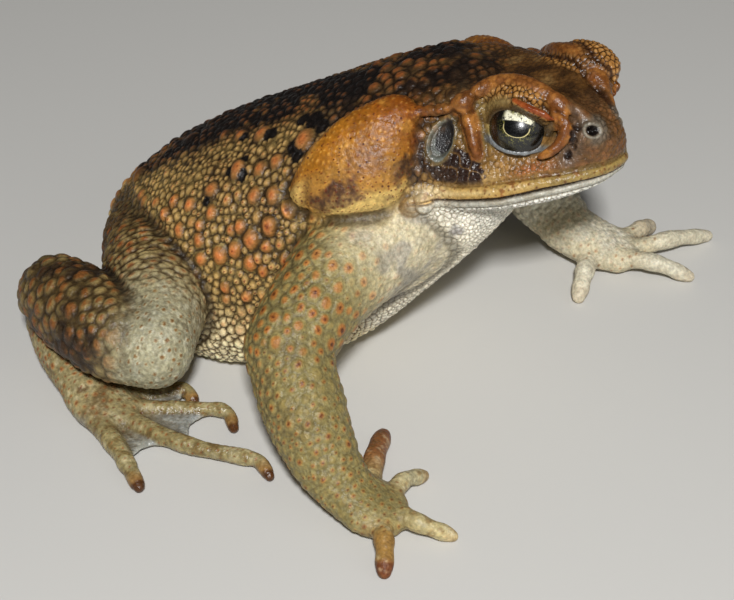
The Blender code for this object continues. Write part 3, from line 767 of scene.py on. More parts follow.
# The dark pits behind the right nostril, and their radii.
PITS = [((32.1, 8.4, 9.6), 0.8), ((32.9, 8.9, 8.0), 1.0), ((32.7, 10.0, 6.6), 0.75), ((32.5, 10.1, 5.1), 0.8),
        ((32.2, 9.9, 3.4), 0.7), ((31.0, 10.1, 1.8), 0.85)]


def pit_cover(points, beyond=0.0):
    """1 in the pits behind the nostril."""
    h = outward_head(points)
    gaps = [np.linalg.norm((h - centre) * (1, 1, 0.85), axis=1) - radius for centre, radius in PITS]
    return smooth(0.15 + beyond, -0.35 + 0.5 * beyond, np.min(gaps, axis=0))


def head_relief(points, normals, on_head):
    """How far the mouth, nostrils and ears raise or sink each point."""
    h = level_head(points)
    n = normals @ head_turn()
    x = h[:, 0]
    above = mouth_height(h)
    thick = np.interp(x, *LIP_THICKNESS.T)
    sideways = smooth(0.05, 0.4, np.hypot(n[:, 0], n[:, 1])) * smooth(0.5, 3.0, x) * on_head
    lip = 0.62 * np.sin(math.pi * np.clip(above / thick, 0, 1)) ** 0.7 - 0.3 * hump(above, thick + 0.5, 0.9)
    lower = 0.3 * np.sin(math.pi * np.clip(-above / LOWER_LIP, 0, 1)) - 0.3 * hump(above, -LOWER_LIP - 0.3, 0.5)
    relief = sideways * (lip + lower - 0.95 * np.exp(-((above / 0.3) ** 2)))
    for name, height in (("lid", 0.1), ("fore", 0.2), ("hind", 0.15), ("ear", 0.3), ("brow", 0.35)):
        gap = crest_gap(points, name)
        relief += on_head * (height * smooth(1.0, -0.3, gap) - 0.25 * hump(gap, 1.5, 0.8))
    relief += 1.0 * knob_cover(h) - 0.4 * pit_cover(points)
    relief -= 0.5 * on_head * on_neck_folds(h) * (1 - neck_folds(points, h))
    pit, off = nostril_ring(h)
    right = to_head(points)[:, 1] < 0
    relief += on_head * (0.1 + 0.3 * right) * np.exp(-((off / 2.9) ** 2))
    hole = (0.6 + 0.9 * right) * (1 - smooth(0.35, 1.0, pit))
    relief += on_head * (off < NOSTRIL_REACH) * (0.2 * hump(pit, 1.3, 0.5) - hole)
    ear = ear_ring(h)
    return relief + 0.22 * hump(ear, 1.15, 0.25) - 0.45 * (1 - smooth(0.8, 1.05, ear))


def nostril_ring(h):
    """1 at the rim of the nostril, and the distance from its middle."""
    out = unit(NOSTRIL_FACE)
    along = unit(np.array([1, 0, -0.35]) - out * (out[0] - 0.35 * out[2]))
    off = h - NOSTRIL
    return np.hypot(off @ along / 1.3, off @ np.cross(out, along) / 1.0), np.linalg.norm(off, axis=1)


def ridges(value, sharp=1.0):
    """Even ridges, one for each whole number, from 0 in the grooves to 1 on top."""
    return np.abs(np.sin(math.pi * value)) ** sharp


def fold_relief(points, places, share):
    """Creases that run round the limbs and the joints of the fingers and toes."""
    wander = noise(points, 6, 40)
    relief = np.zeros(len(points))
    for side, _ in SIDES:
        thigh, fore = places["thigh_" + side], places["fore_" + side]
        curved = thigh.along * 23 + 0.9 * np.cos(thigh.around) + 0.6 * wander
        on = share["thigh"] * (thigh.distance < 4)
        relief += on * 0.5 * ridges(curved, 0.7) * smooth(0.9, 0.55, thigh.along)
        curved = fore.along * 24 + 0.6 * wander
        on = share["fore"] * (fore.distance < 4)
        relief += on * 0.22 * ridges(curved, 0.7) * smooth(0.62, 0.95, fore.along)
    for kind, count in (("fingers", 2.4), ("toes", 3.4)):
        along = np.max([p.along * (p.distance < 3) for n, p in places.items() if n.startswith(kind)], axis=0)
        knuckles = 0.13 * np.cos(2 * math.pi * (count * along - 0.1)) - 0.25 * smooth(0.75, 1.0, along)
        knuckles += 0.07 * ridges(along * 26 + 0.5 * wander, 0.7)
        relief += share[kind] * smooth(0.1, 0.3, along) * knuckles
    return relief


class Cells:
    """Centres thrown over the skin, none nearer another than its size, and what each skin point sees of them.

    near is the distance to the nearest centre as a share of its size, edge is how much nearer it is than
    the next centre, and who says which centre it is.
    """

    def __init__(self, points, chosen, size, seed, axis, stretch, spread=0.25, placed=(), large=None):
        rng = np.random.default_rng(SEED + seed)
        chosen = np.flatnonzero(chosen)
        space = points[chosen]
        axis = unit(axis)
        placed = np.array(placed, float).reshape(-1, 4)
        placed[:, :3] += (stretch - 1) * (placed[:, :3] @ axis)[:, None] * axis
        space = space + 0.3 * np.column_stack([noise(space, 2.0, seed + 200 + k) for k in range(3)])
        space = space + (stretch - 1) * (space @ axis)[:, None] * axis
        size = size[chosen] * np.exp(spread * rng.uniform(-1, 1, len(space)))
        grown = np.ones(len(space)) if large is None else large[chosen]
        every = tree_of(space)
        free, roomy = np.ones(len(space), bool), grown > 1.1
        centres, sizes = [], []

        def settle(place, wide, small):
            """Small neighbours may come closer to a wide one than wide ones to each other."""
            centres.append(place)
            sizes.append(wide)
            for _, j, off in every.find_range(place, wide):
                roomy[j] = False
                if off <= 0.5 * (wide + small):
                    free[j] = False

        for x, y, z, wide in placed:
            settle((x, y, z), wide, SMALL_WART)
        order = rng.permutation(len(space))
        for i in order[: len(order) // 40]:
            if roomy[i] and free[i]:
                settle(space[i], size[i] * grown[i], size[i])
        for i in order:
            if free[i]:
                settle(space[i], size[i], size[i])
        self.sizes = np.array(sizes)
        tree = tree_of(centres)
        found = [[(j, d) for _, j, d in tree.find_n(p, 5)] for p in space]
        which = np.array([[j for j, _ in row] for row in found])
        off = np.array([[d for _, d in row] for row in found]) / self.sizes[which]
        order = np.argsort(off, axis=1)[:, :2]
        pick = np.arange(len(space))[:, None]
        off, which = off[pick, order], which[pick, order]
        count = len(points)
        self.near = np.full(count, FAR)
        self.edge = np.zeros(count)
        self.who = np.zeros(count, int)
        self.near[chosen] = off[:, 0]
        self.edge[chosen] = off[:, 1] - off[:, 0]
        self.who[chosen] = which[:, 0]
        self.chance = rng.uniform(size=len(centres))

    def dome(self, reach=0.5):
        """1 over the centre, falling off roundly to 0 at reach."""
        return np.sqrt(np.clip(1 - (self.near / reach) ** 2, 0, 1))

    def pillow(self, groove=0.4):
        """0 between the cells and 1 over the rest of each."""
        return smooth(0.0, groove, self.edge)

    def luck(self):
        """One chance from 0 to 1 for each cell."""
        return self.chance[self.who]

    def wide(self):
        return self.sizes[self.who]


# The width of the warts between the largest ones.
SMALL_WART = 1.8
# The largest warts of the right flank, as x, y, z and width.
BIG_WARTS = [
    (-4.2, -19.3, 57.6, 6.0), (-16.3, -15.5, 53.8, 4.8), (-22.1, -14.1, 51.5, 3.8), (-17.9, -23.5, 49.3, 4.6),
    (-9.1, -22.9, 53.3, 3.8), (-22.7, -26.9, 45.0, 3.8),
    (-12.6, -24.0, 51.5, 3.8), (-21.0, -30.4, 42.0, 3.6), (-11.7, -28.2, 47.3, 4.0), (-7.3, -28.1, 48.7, 4.2),
    (-3.1, -29.6, 47.3, 4.2), (-6.7, -31.3, 43.1, 4.2), (-10.4, -32.8, 39.7, 4.4), (-13.8, -33.8, 36.8, 4.0),
    (-17.2, -34.5, 34.9, 4.2), (-26.9, -12.6, 49.4, 3.6), (-26.9, -29.1, 41.4, 3.2), (-42.0, -24.9, 36.2, 3.4),
    (-49.3, -13.6, 34.4, 5.0), (-47.2, -26.6, 27.0, 4.6), (-38.0, -8.0, 42.0, 4.6),
]
# Black patches beside the ringed warts, as x, y, z and half width.
BLACK_SPOTS = [
    (-6.0, -20.4, 56.4, 2.2), (-4.4, -22.2, 55.4, 1.7), (-4.2, -14.6, 60.0, 2.8), (-1.4, -16.4, 60.3, 1.9),
    (-7.2, -13.9, 58.8, 1.9), (-13.8, -15.9, 54.9, 1.7), (-14.2, -16.8, 54.2, 1.2), (-20.8, -15.3, 51.9, 1.3),
    (-19.8, -23.7, 48.5, 1.4), (-16.2, -25.0, 49.0, 1.5), (-17.6, -21.6, 50.6, 1.3), (-23.2, -28.8, 43.4, 1.2),
]


# Warts, scales and granules.


def knee_weight(nearest):
    """1 on the smooth pale knee, 0 up the thigh and down the shank."""
    thigh, shank = nearest["thigh"], nearest["shank"]
    nearer = smooth(-2.0, 2.0, shank.distance - thigh.distance)
    return nearer * smooth(0.62, 0.98, thigh.along) + (1 - nearer) * smooth(0.28, 0.0, shank.along)


def creases(share, nearest):
    """1 in the folds where two parts of the body meet."""
    pairs = (("gland", "trunk", 1.0), ("gland", "upper", 1.0), ("gland", "head", 0.6), ("thigh", "trunk", 0.7),
             ("thigh", "shank", 1.0), ("upper", "trunk", 0.7), ("thigh", "ankle", 1.0), ("shank", "ankle", 0.8))
    depth = sum(amount * smooth(0.45, 1.0, 4 * share[a] * share[b]) for a, b, amount in pairs)
    return np.clip(depth * (1 - knee_weight(nearest) * share["thigh"] * 4 * share["shank"]), 0, 1)


def shoulder_cover(points):
    """1 on the pale skin in front of the right shoulder."""
    x, y, _ = points.T
    return smooth(2, 14, x) * smooth(-46, -28, y) * smooth(4, -8, y)


def nape_cover(points):
    return smooth(-6, 6, points[:, 0]) * smooth(56, 62, points[:, 2])


def middle_cover(points, normals, width):
    """1 along the middle of the back."""
    x, y, _ = points.T
    return hump(y - 0.06 * x, 0, width) * smooth(0.55, 0.8, normals[:, 2])


def thrown_cells(points, normals, share, nearest, places):
    """The warts of each part: how wide they are is set by the part and by where on it they sit."""
    h = outward_head(points)
    x, _, z = points.T
    on_trunk = share["trunk"] + share["gland"]
    low = np.maximum(smooth(20, 8, z), smooth(-0.1, -0.6, normals[:, 2]))
    chest = smooth(9, 17, x) * smooth(51, 45, z)
    trunk_size = 1.5 + 0.6 * middle_cover(points, normals, 16) + 0.8 * nape_cover(points) - 0.35 * low
    trunk_size = trunk_size + 0.25 * noise(points, 5, 4) * (1 - low)
    trunk_size = trunk_size * (1 - chest) + chest * 0.95
    dome = smooth(1.0, 0.8, lid_ring(h)) * smooth(6, 9, h[:, 2])
    throat = smooth(-1.5, -3, mouth_height(h))
    head_size = 1.15 - 0.05 * dome - 0.4 * throat
    arm_size = 2.1 - 0.3 * share["fore"] - 0.6 * share["palm"] - 0.8 * shoulder_cover(points)
    limbs = share["upper"] + share["fore"] + share["palm"]
    rest = np.clip(1 - on_trunk - share["head"] - limbs, 0, 1)
    flat = 0.8 * smooth(0.6, 0.85, normals[:, 2])
    large = 1 + 0.75 * share["trunk"] * (1 - chest) * (1 - 0.4 * low) * (1 - flat) + 0.5 * share["upper"]
    large = large + 0.3 * share["fore"]
    size = share["trunk"] * trunk_size + share["gland"] * 1.2 + share["head"] * head_size
    size = size + limbs * arm_size + rest * 1.7
    knee = (share["thigh"] + share["shank"] > 0.04) & (knee_weight(nearest) > 0)
    body = (on_trunk + share["head"] + limbs + share["ankle"] + share["sole"] + share["toes"] > 0.04) | knee
    cells = {"body": Cells(points, body, size, 1, axis=(1, 0, 0), stretch=1.3, placed=BIG_WARTS, large=large)}
    for side, _ in SIDES:
        thigh, shank = (np.array(LEGS[side][k])[:, :3] for k in ("thigh", "shank"))
        on_thigh = (share["thigh"] > 0.04) & (places["thigh_" + side].distance < 6)
        on_shank = (share["shank"] > 0.04) & (places["shank_" + side].distance < 6)
        along = places["thigh_" + side].along
        cells["thigh_" + side] = Cells(points, on_thigh, 3.0 - 0.9 * smooth(0.4, 0.9, along), 2,
                                       axis=thigh[-1] - thigh[0], stretch=1.8, spread=0.35)
        cells["shank_" + side] = Cells(points, on_shank, np.full(len(x), 3.2), 3,
                                       axis=shank[-2] - shank[0], stretch=1.35, spread=0.3)
    return cells


def crest_cover(points):
    """1 on the bare bony ridges of the head."""
    return smooth(1.1, 0.3, np.min([crest_gap(points, name) for name in CRESTS], axis=0))


def wart_relief(points, normals, share, nearest, cells):
    """How far the warts, scales, granules and joint creases raise or sink each point."""
    h = outward_head(points)
    body = cells["body"]
    big = smooth(2.2, 3.6, body.wide())
    ear = ear_ring(h)
    smooth_skin = np.maximum(smooth(1.4, 1.15, round_eye(h)[0]), smooth(1.4, 1.1, ear))
    up = smooth(0.5, 0.85, normals[:, 2])
    wide = body.wide()
    lively = 0.7 + 0.6 * body.luck()
    mound = np.clip(1 - (body.near / 0.56) ** 2, 0, 1)
    trunk = wide * (0.09 * body.pillow(0.3) + lively * (0.12 * body.dome(0.5) + (0.12 + 0.04 * big) * mound))
    trunk *= 1 - 0.4 * up
    above = mouth_height(h)
    crown = smooth(7, 9, h[:, 2]) * smooth(0.9, 1.1, lid_ring(h))
    granules = hump(h[:, 0], 25, 7) * hump(above, 4.6, 3)
    cheek = smooth(7, 3, h[:, 2]) * smooth(0, 1, above) * (1 - granules)
    calm = np.maximum(np.clip(0.7 * crown + 0.5 * cheek, 0, 1), pit_cover(points, 0.8))
    head = wide * (0.11 * body.pillow(0.45) + 0.12 * body.dome(0.5)) * (1 - calm)
    arm = wide * (0.02 * body.pillow(0.3) + 0.14 * np.clip(1 - (body.near / 0.62) ** 2, 0, 1))
    arm *= 1 - 0.6 * shoulder_cover(points)
    lips = smooth(-LOWER_LIP - 0.5, -LOWER_LIP + 0.2, above) * smooth(4.4, 3.0, above)
    smooth_skin = np.maximum.reduce([smooth_skin, 0.9 * crest_cover(points), 0.85 * lips])
    on_ear = smooth(1.5, 1.2, ear)
    relief = share["trunk"] * trunk * (1 - on_ear) + share["head"] * head * (1 - np.clip(smooth_skin, 0, 1))
    relief += (share["upper"] + share["fore"] + 0.6 * share["palm"] + 0.7 * share["ankle"]) * arm
    relief += share["gland"] * (0.11 * body.dome(0.42) + 0.25 * noise(points, 4.5, 5))
    pillow = hump(nearest["gland"].around, 0.16, 0.08) * smooth(0.4, 0.65, nearest["gland"].along)
    relief -= share["gland"] * 0.6 * pillow * (h[:, 0] < 6)
    for side, _ in SIDES:
        thigh, shank = cells["thigh_" + side], cells["shank_" + side]
        rough = 1 - knee_weight(nearest)
        relief += rough * share["thigh"] * thigh.wide() * 0.13 * thigh.pillow(0.9) * (thigh.near < 3)
        knob = shank.wide() * 0.2 * np.clip(1 - (shank.near / 0.66) ** 2, 0, 1)
        relief += rough * share["shank"] * knob * (shank.near < 3)
    relief += knee_weight(nearest) * (share["thigh"] + share["shank"]) * 0.14 * body.dome(0.45)
    relief *= 1 - knob_cover(h, 1.6)
    grain = 0.06 * (1 - 0.7 * np.maximum(knob_cover(h, 1.6), on_ear))
    return relief + grain * noise(points, 0.9, 7) - 0.6 * creases(share, nearest)


# Colours, worked out at each point as sRGB from 0 to 255.


def paint(tint, colour, amount):
    """Lays a colour over the tint in place, as far as amount says at each point."""
    tint += np.clip(amount, 0, 1)[:, None] * (np.asarray(colour, float) - tint)


def plain(colour, count):
    """A first colour for every point."""
    return np.tile(np.array(colour, float), (count, 1))


def trunk_colours(points, normals, body, h):
    x, _, z = points.T
    blot, fleck = mixed_noise(points, 8, 20), mixed_noise(points, 2.2, 23)
    belly = np.maximum(smooth(30, 9, z + 3 * noise(points, 6, 26)), smooth(-0.1, -0.6, normals[:, 2]))
    chest = smooth(7, 13, x) * smooth(52, 46, z) + smooth(20, 24, x) * smooth(-4, -6, h[:, 2])
    back = np.maximum(smooth(0.1, 0.6, middle_cover(points, normals, 21)), nape_cover(points))
    luck, big = body.luck(), smooth(2.3, 3.0, body.wide())
    core, tip = smooth(0.44, 0.2, body.near), smooth(0.3, 0.1, body.near)
    top = body.pillow(0.42)
    bump = smooth(0.56, 0.44, body.near)
    tint = plain((66, 50, 24), len(x))
    paint(tint, (134, 114, 66), body.pillow(0.16))
    paint(tint, (166, 148, 98), body.pillow(0.14) * smooth(-0.1, 0.5, fleck) * 0.7)
    paint(tint, (146, 118, 66), bump * (1 - big))
    paint(tint, (140, 96, 48), bump * big)
    paint(tint, (198, 166, 110), core * (0.4 + 0.4 * luck) * (1 - big))
    paint(tint, (186, 122, 68), core * (0.7 + 0.3 * luck) * big)
    paint(tint, (178, 100, 48), tip * np.maximum(0.6 * smooth(0.6, 0.85, luck), 0.85 * big))
    paint(tint, (96, 30, 10), smooth(0.1, 0.05, body.near) * (luck > 0.55) * (z < 50))
    shade = smooth(34, 50, z)
    paint(tint, (80, 58, 32), shade * (0.25 + 0.3 * smooth(-0.2, 0.5, blot)) * (1 - 0.6 * core))
    paint(tint, (40, 26, 14), shade * smooth(0.1, 0.4, fleck + 0.5 * blot) * (1 - bump) * 0.8)
    paint(tint, (112, 90, 54), belly * (1 - top))
    paint(tint, (240, 226, 184), belly * top * 0.95)
    paint(tint, (206, 146, 86), belly * core * (luck > 0.62) * smooth(1, 0.6, belly) * 0.8)
    paint(tint, (50, 32, 16), back * (1 - 0.3 * top) * 0.9)
    paint(tint, (132, 74, 34), back * core * (0.4 + 0.5 * luck))
    dark = smooth(-0.12, 0.05, blot + 0.3 * fleck + 0.04) * back
    paint(tint, (17, 12, 11), dark * (0.97 - 0.55 * core * (luck > 0.55)))
    for cx, cy, cz, wide in BLACK_SPOTS:
        off = np.linalg.norm((points - (cx, cy, cz)) * (1.2, 1, 0.85), axis=1) / wide
        beside = (body.near > 0.38) | (body.wide() < 3)
        paint(tint, (14, 10, 9), smooth(1.1, 0.9, off + 0.35 * fleck) * beside)
    stain = smooth(0.25, 0.6, mixed_noise(points, 6, 28))
    paint(tint, (150, 142, 128), chest * (1 - 0.8 * top))
    paint(tint, (232, 226, 206), chest * (0.25 + 0.75 * top))
    paint(tint, (140, 136, 136), chest * stain * 0.5)
    return tint


BONE = ((108, 62, 26), (166, 110, 50))
# Each ridge's colour: where it begins and is full, its strength, how much of it is left on the left side,
# and its dark and light tint.
CREST_LOOKS = {
    "brow": (0.9, 0.3, 0.8, 1.0, *BONE),
    **{name: (1.3, 0.3, 1.0, 1.0, *BONE) for name in ("ear", "hind", "fore")},
    "lid": (0.6, 0.1, 1.0, 0.3, (116, 50, 20), (142, 72, 32)),
}


def head_colours(points, h, body):
    x, y, z = h.T
    blot, fleck = mixed_noise(points, 5, 30), mixed_noise(points, 1.6, 33)
    top, core = body.pillow(0.3), smooth(0.45, 0.2, body.near)
    above = mouth_height(h)
    thick = np.interp(x, *LIP_THICKNESS.T)
    ring, over, far, _ = round_eye(h)
    veins = hump(noise(points, 2.4, 36), 0, 0.16)
    tint = plain((124, 92, 46), len(x))
    paint(tint, (150, 112, 62), smooth(-0.1, 0.4, fleck) * smooth(5, 0, z) * 0.8)
    paint(tint, (84, 56, 26), smooth(5, 9, z))
    paint(tint, (46, 29, 14), smooth(0.0, 0.35, blot + 0.2 * fleck) * smooth(7, 9, z) * 0.85)
    paint(tint, (132, 102, 60), smooth(0.25, 0.6, -blot) * smooth(7, 9, z) * 0.7)
    paint(tint, (88, 60, 34), smooth(26, 30, x) * (0.4 + 0.6 * top))
    paint(tint, (124, 82, 48), smooth(26, 30, x) * smooth(-0.1, 0.5, fleck) * smooth(10, 7, z) * 0.6)
    paint(tint, (52, 38, 24), smooth(26, 30, x) * smooth(0.1, 0.5, blot) * smooth(12, 8, z) * 0.6)
    paint(tint, (182, 150, 96), hump(x, 15.5, 7) * hump(above, 4.4, 2.6) * 0.9)
    paint(tint, (142, 80, 42), hump(x, 25, 6) * hump(above, 4.6, 2.6) * top * 0.8)
    dome = smooth(1.2, 0.9, lid_ring(h)) * smooth(6.0, 8.5, z)
    paint(tint, (52, 28, 6), dome)
    paint(tint, (152, 106, 52), dome * smooth(0.06, 0.34, body.edge))
    paint(tint, (178, 138, 86), dome * core * smooth(-0.3, 0.4, fleck))
    right = to_head(points)[:, 1] < 0
    behind = smooth(0.5, -3.5, off_ahead(h)) * smooth(6.5, 5, over)
    paint(tint, (134, 118, 72), smooth(1.3, 1.14, ring) * behind * 0.85)
    paint(tint, (104, 82, 46), smooth(1.2, 1.08, ring) * (over > 0) * smooth(9.4, 8.6, far) * 0.8)
    paint(tint, (60, 46, 26), smooth(1.1, 1.0, ring) * (over > 0) * smooth(8.6, 7.8, far))
    paint(tint, (140, 118, 62), hump(x, 13, 4) * hump(z, 5.5, 4.5) * smooth(12, 14, y) * 0.9)
    patch = hump(x, 9.0, 12.5) * hump(z + 0.3 * (x - 10), -1.0, 6.2) * smooth(14, 16, y)
    paint(tint, (36, 22, 18), smooth(0.26, 0.4, patch + 0.3 * fleck + 0.12 * blot) * (1 - 0.75 * veins))
    folds = smooth(0.1, 0.4, on_neck_folds(h) + 0.2 * fleck)
    paint(tint, (118, 84, 52), folds)
    paint(tint, (30, 18, 15), folds * smooth(0.95, 0.6, neck_folds(points, h) + 0.3 * fleck))
    for name, (edge, full, amount, on_left, dark, light) in CREST_LOOKS.items():
        near = crest_gap(points, name)
        on = smooth(edge, full, near) * amount * np.where(right, 1, on_left)
        paint(tint, dark, on)
        paint(tint, light, on * smooth(-0.2, 0.5, fleck) * 0.8)
        # On the left side, a painted shadow along the foot of the brow ridge.
        if name == "brow":
            paint(tint, (48, 26, 12), hump(near, 1.2, 0.8) * ~right * 0.8)
    round_pits = pit_cover(points, 2.2) * smooth(0.2, 0.8, crest_gap(points, "fore"))
    paint(tint, (98, 80, 66), round_pits * (0.7 + 0.2 * fleck))
    paint(tint, (18, 11, 12), pit_cover(points, 0.25))
    paint(tint, (110, 114, 116), smooth(1.2, 1.12, ring) * smooth(-1.2, -2.6, over) * (far < EYE_RADIUS + 1.1))
    roll = smooth(0.0, 0.25, above) * smooth(thick + 1.6, thick - 0.4, above) * smooth(-0.5, 1.5, x)
    paint(tint, (170, 138, 78), roll * 0.95)
    paint(tint, (126, 108, 62), roll * smooth(22, 32, x) * 0.7)
    # A painted highlight along the top of the upper lip's roll, towards the back.
    painted_lip_highlight = hump(above, 0.6 * thick, 0.9) * smooth(30, 20, x)
    paint(tint, (216, 190, 134), roll * painted_lip_highlight * smooth(-0.5, 0.3, blot) * 0.7)
    paint(tint, (112, 62, 28), roll * smooth(0.25, 0.5, fleck) * 0.6)
    paint(tint, (96, 58, 26), roll * smooth(0.3, 0.12, body.near) * (body.luck() > 0.5) * 0.8)
    paint(tint, (138, 82, 34), smooth(0.6, 0.1, above) * roll)
    lower = smooth(0.1, -0.15, above) * smooth(-0.5, 1.5, x)
    paint(tint, (170, 168, 156), lower)
    on_lip = lower * smooth(-LOWER_LIP - 0.4, -LOWER_LIP, above)
    paint(tint, (138, 130, 112), on_lip * smooth(0.0, 0.5, fleck) * 0.6)
    paint(tint, (226, 224, 214), smooth(-LOWER_LIP, -LOWER_LIP - 0.8, above) * (0.3 + 0.7 * top))
    paint(tint, (40, 26, 16), np.exp(-((above / 0.22) ** 2)) * smooth(0.5, 2.5, x))
    pit, off = nostril_ring(level_head(points))
    paint(tint, (98, 92, 82), smooth(4.2, 2.4, off) * 0.8)
    paint(tint, (128, 124, 112), hump(pit, 1.3, 0.4) * (off < NOSTRIL_REACH))
    paint(tint, (12, 7, 6), smooth(1.1, 0.8, pit) * (off < NOSTRIL_REACH))
    ear = ear_ring(h)
    paint(tint, (112, 98, 62), smooth(1.5, 1.25, ear + 0.2 * fleck) * 0.8)
    paint(tint, (112, 122, 118), smooth(1.16, 1.02, ear + 0.1 * fleck))
    paint(tint, (40, 41, 44), smooth(0.96, 0.82, ear_ring(h, 0.35, 0.5) + 0.2 * fleck))
    return tint


def gland_colours(points, nearest, body):
    down, around = nearest["gland"].along, nearest["gland"].around
    blot, fleck = mixed_noise(points, 4.5, 50), mixed_noise(points, 1.5, 53)
    tint = plain((160, 104, 30), len(points))
    paint(tint, (124, 62, 14), smooth(0.45, 0.1, down) * smooth(0.2, 0.8, around + 0.2 * blot) * 0.8)
    paint(tint, (190, 138, 66), smooth(0.0, 0.5, blot) * 0.7)
    paint(tint, (178, 134, 72), smooth(0.45, 0.6, down) * 0.7)
    cream = smooth(0.78, 0.92, down + 0.05 * blot) * smooth(0.15, 0.45, around)
    paint(tint, (214, 184, 122), np.maximum(cream, smooth(0.24, 0.08, around) * smooth(0.35, 0.65, down) * 0.8))
    where = hump(down, 0.8, 0.26) * hump(around, 0.4, 0.45)
    speckle = 0.45 + 0.4 * smooth(-0.4, 0.3, mixed_noise(points, 0.9, 56))
    paint(tint, (62, 38, 32), smooth(0.36, 0.75, where + 0.4 * blot + 0.35 * fleck) * speckle)
    middle = 1.25 * hump(down, 0.55, 0.36) * hump(around, 0.66, 0.32)
    paint(tint, (118, 74, 52), smooth(0.5, 0.85, middle + 0.4 * blot + 0.3 * fleck) * 0.65 * speckle)
    front = smooth(0.72, 0.95, around) * hump(down, 0.6, 0.55)
    paint(tint, (54, 34, 28), smooth(0.4, 0.75, front + 0.4 * blot + 0.35 * fleck) * speckle)
    luck = body.luck()
    # Painted highlights: pale dots on the small bumps of the gland's upper part.
    paint(tint, (222, 176, 108), smooth(0.3, 0.12, body.near) * smooth(0.6, 0.4, down) * (luck > 0.3) * 0.55)
    paint(tint, (92, 30, 8), smooth(0.22, 0.14, body.near) * (luck < 0.35 + 0.35 * smooth(0.4, 0.6, down)))
    return tint * (0.97, 0.95, 0.82)


def arm_colours(points, share, body):
    fleck, blot = mixed_noise(points, 1.6, 60), mixed_noise(points, 7, 62)
    luck, near = body.luck(), body.near
    wide = smooth(1.9, 2.5, body.wide())
    tint = plain((146, 130, 82), len(points))
    paint(tint, (168, 156, 112), smooth(-0.1, 0.6, fleck) * 0.3)
    paint(tint, (116, 98, 58), smooth(0.2, 0.6, blot) * 0.5)
    paint(tint, (160, 138, 86), smooth(0.5, 0.3, near) * 0.5)
    paint(tint, (170, 166, 132), hump(body.edge, 0.12, 0.14) * 0.4)
    paint(tint, (110, 94, 58), smooth(0.05, 0.0, body.edge) * 0.4)
    upper = smooth(0.2, 0.7, share["upper"])
    spot = smooth(0.42, 0.26, near) * upper * wide + smooth(0.34, 0.1, near) * (1 - 0.6 * upper) * (luck > 0.2)
    paint(tint, (176, 112, 54), spot * 0.85)
    paint(tint, (92, 40, 12), smooth(0.15, 0.08, near) * (luck > 0.2))
    pale = smooth(10, 24, points[:, 1]) * smooth(0.2, 0.7, share["upper"] + 0.7 * share["fore"])
    paint(tint, (222, 220, 202), pale * (0.9 + 0.2 * fleck))
    paint(tint, (218, 214, 196), (points[:, 1] > 20) * share["palm"] * (0.85 + 0.2 * fleck))
    shoulder = shoulder_cover(points)
    paint(tint, (214, 206, 180), shoulder * (0.75 + 0.25 * fleck))
    paint(tint, (150, 146, 138), shoulder * smooth(0.2, 0.5, blot) * 0.6)
    on_right = smooth(20, 0, points[:, 1])[:, None] * (1 - shoulder[:, None])
    return tint * (1 - 0.12 * on_right * (0.9, 0.8, 1.2))


# Each right finger's tint along its length and at its tip.
FINGER_LOOKS = [((132, 84, 46), (112, 66, 34)), ((180, 170, 132), (160, 132, 86)),
                ((182, 168, 122), (190, 170, 126)), ((152, 116, 60), (104, 56, 26))]


def finger_colours(points, places, body):
    fleck = mixed_noise(points, 1.4, 70)
    tint = plain((170, 150, 104), len(points))
    for side, _ in SIDES:
        place = places["fingers_" + side]
        for finger, (base, tip) in enumerate(FINGER_LOOKS):
            mine = (place.which == finger) * (place.distance < 4)
            if side == "left" and finger == 0:
                base, tip = FINGER_LOOKS[1]
            paint(tint, base, mine * smooth(0.1, 0.5, place.along))
            paint(tint, tip, mine * smooth(0.8, 0.93, place.along + 0.03 * fleck))
    paint(tint, (104, 76, 40), smooth(0.1, 0.6, fleck) * 0.5)
    paint(tint, (210, 204, 176), smooth(0.2, 0.6, -fleck) * 0.4)
    paint(tint, (214, 210, 194), (points[:, 1] > 20) * 0.7)
    paint(tint, (104, 58, 22), smooth(0.3, 0.14, body.near) * (body.luck() > 0.4) * 0.6)
    return tint


def toe_colours(points, nearest, body):
    place = nearest["toes"]
    fleck = mixed_noise(points, 1.4, 72)
    tint = plain((140, 128, 88), len(points))
    paint(tint, (96, 72, 38), smooth(0.0, 0.5, fleck) * 0.6)
    paint(tint, (182, 172, 138), smooth(0.1, 0.6, -fleck) * 0.6)
    paint(tint, (126, 66, 30), smooth(0.2, 0.1, body.near) * (place.along < 0.8) * 0.8)
    webbing = smooth(0.0, 0.6, place.distance) * smooth(6, 3, points[:, 2])
    paint(tint, (150, 154, 152), webbing * (0.85 + 0.15 * fleck))
    paint(tint, (132, 96, 52), smooth(0.78, 0.92, place.along + 0.03 * fleck) * 0.8)
    paint(tint, (76, 46, 24), smooth(0.93, 0.99, place.along + 0.02 * fleck))
    return tint


def thigh_colours(points, places, nearest, cells, side):
    cell, place = cells["thigh_" + side], places["thigh_" + side]
    fleck = mixed_noise(points, 1.6, 80)
    blot = mixed_noise(points, 7, 82)
    tint = plain((66, 50, 24), len(points))
    paint(tint, (104, 86, 50), cell.pillow(0.4))
    paint(tint, (146, 132, 92), cell.pillow(0.4) * smooth(0.25, 0.8, place.along + 0.25 * fleck) * 0.8)
    paint(tint, (46, 30, 16), smooth(0.0, 0.45, blot + 0.2 * fleck) * smooth(0.8, 0.45, place.along) * 0.75)
    paint(tint, (124, 66, 26), smooth(0.4, 0.12, cell.near) * (cell.luck() > 0.3) * 0.8)
    paint(tint, (66, 26, 8), smooth(0.12, 0.06, cell.near) * (cell.luck() > 0.3) * 0.8)
    knee_look(points, tint, knee_weight(nearest), cells["body"])
    return tint


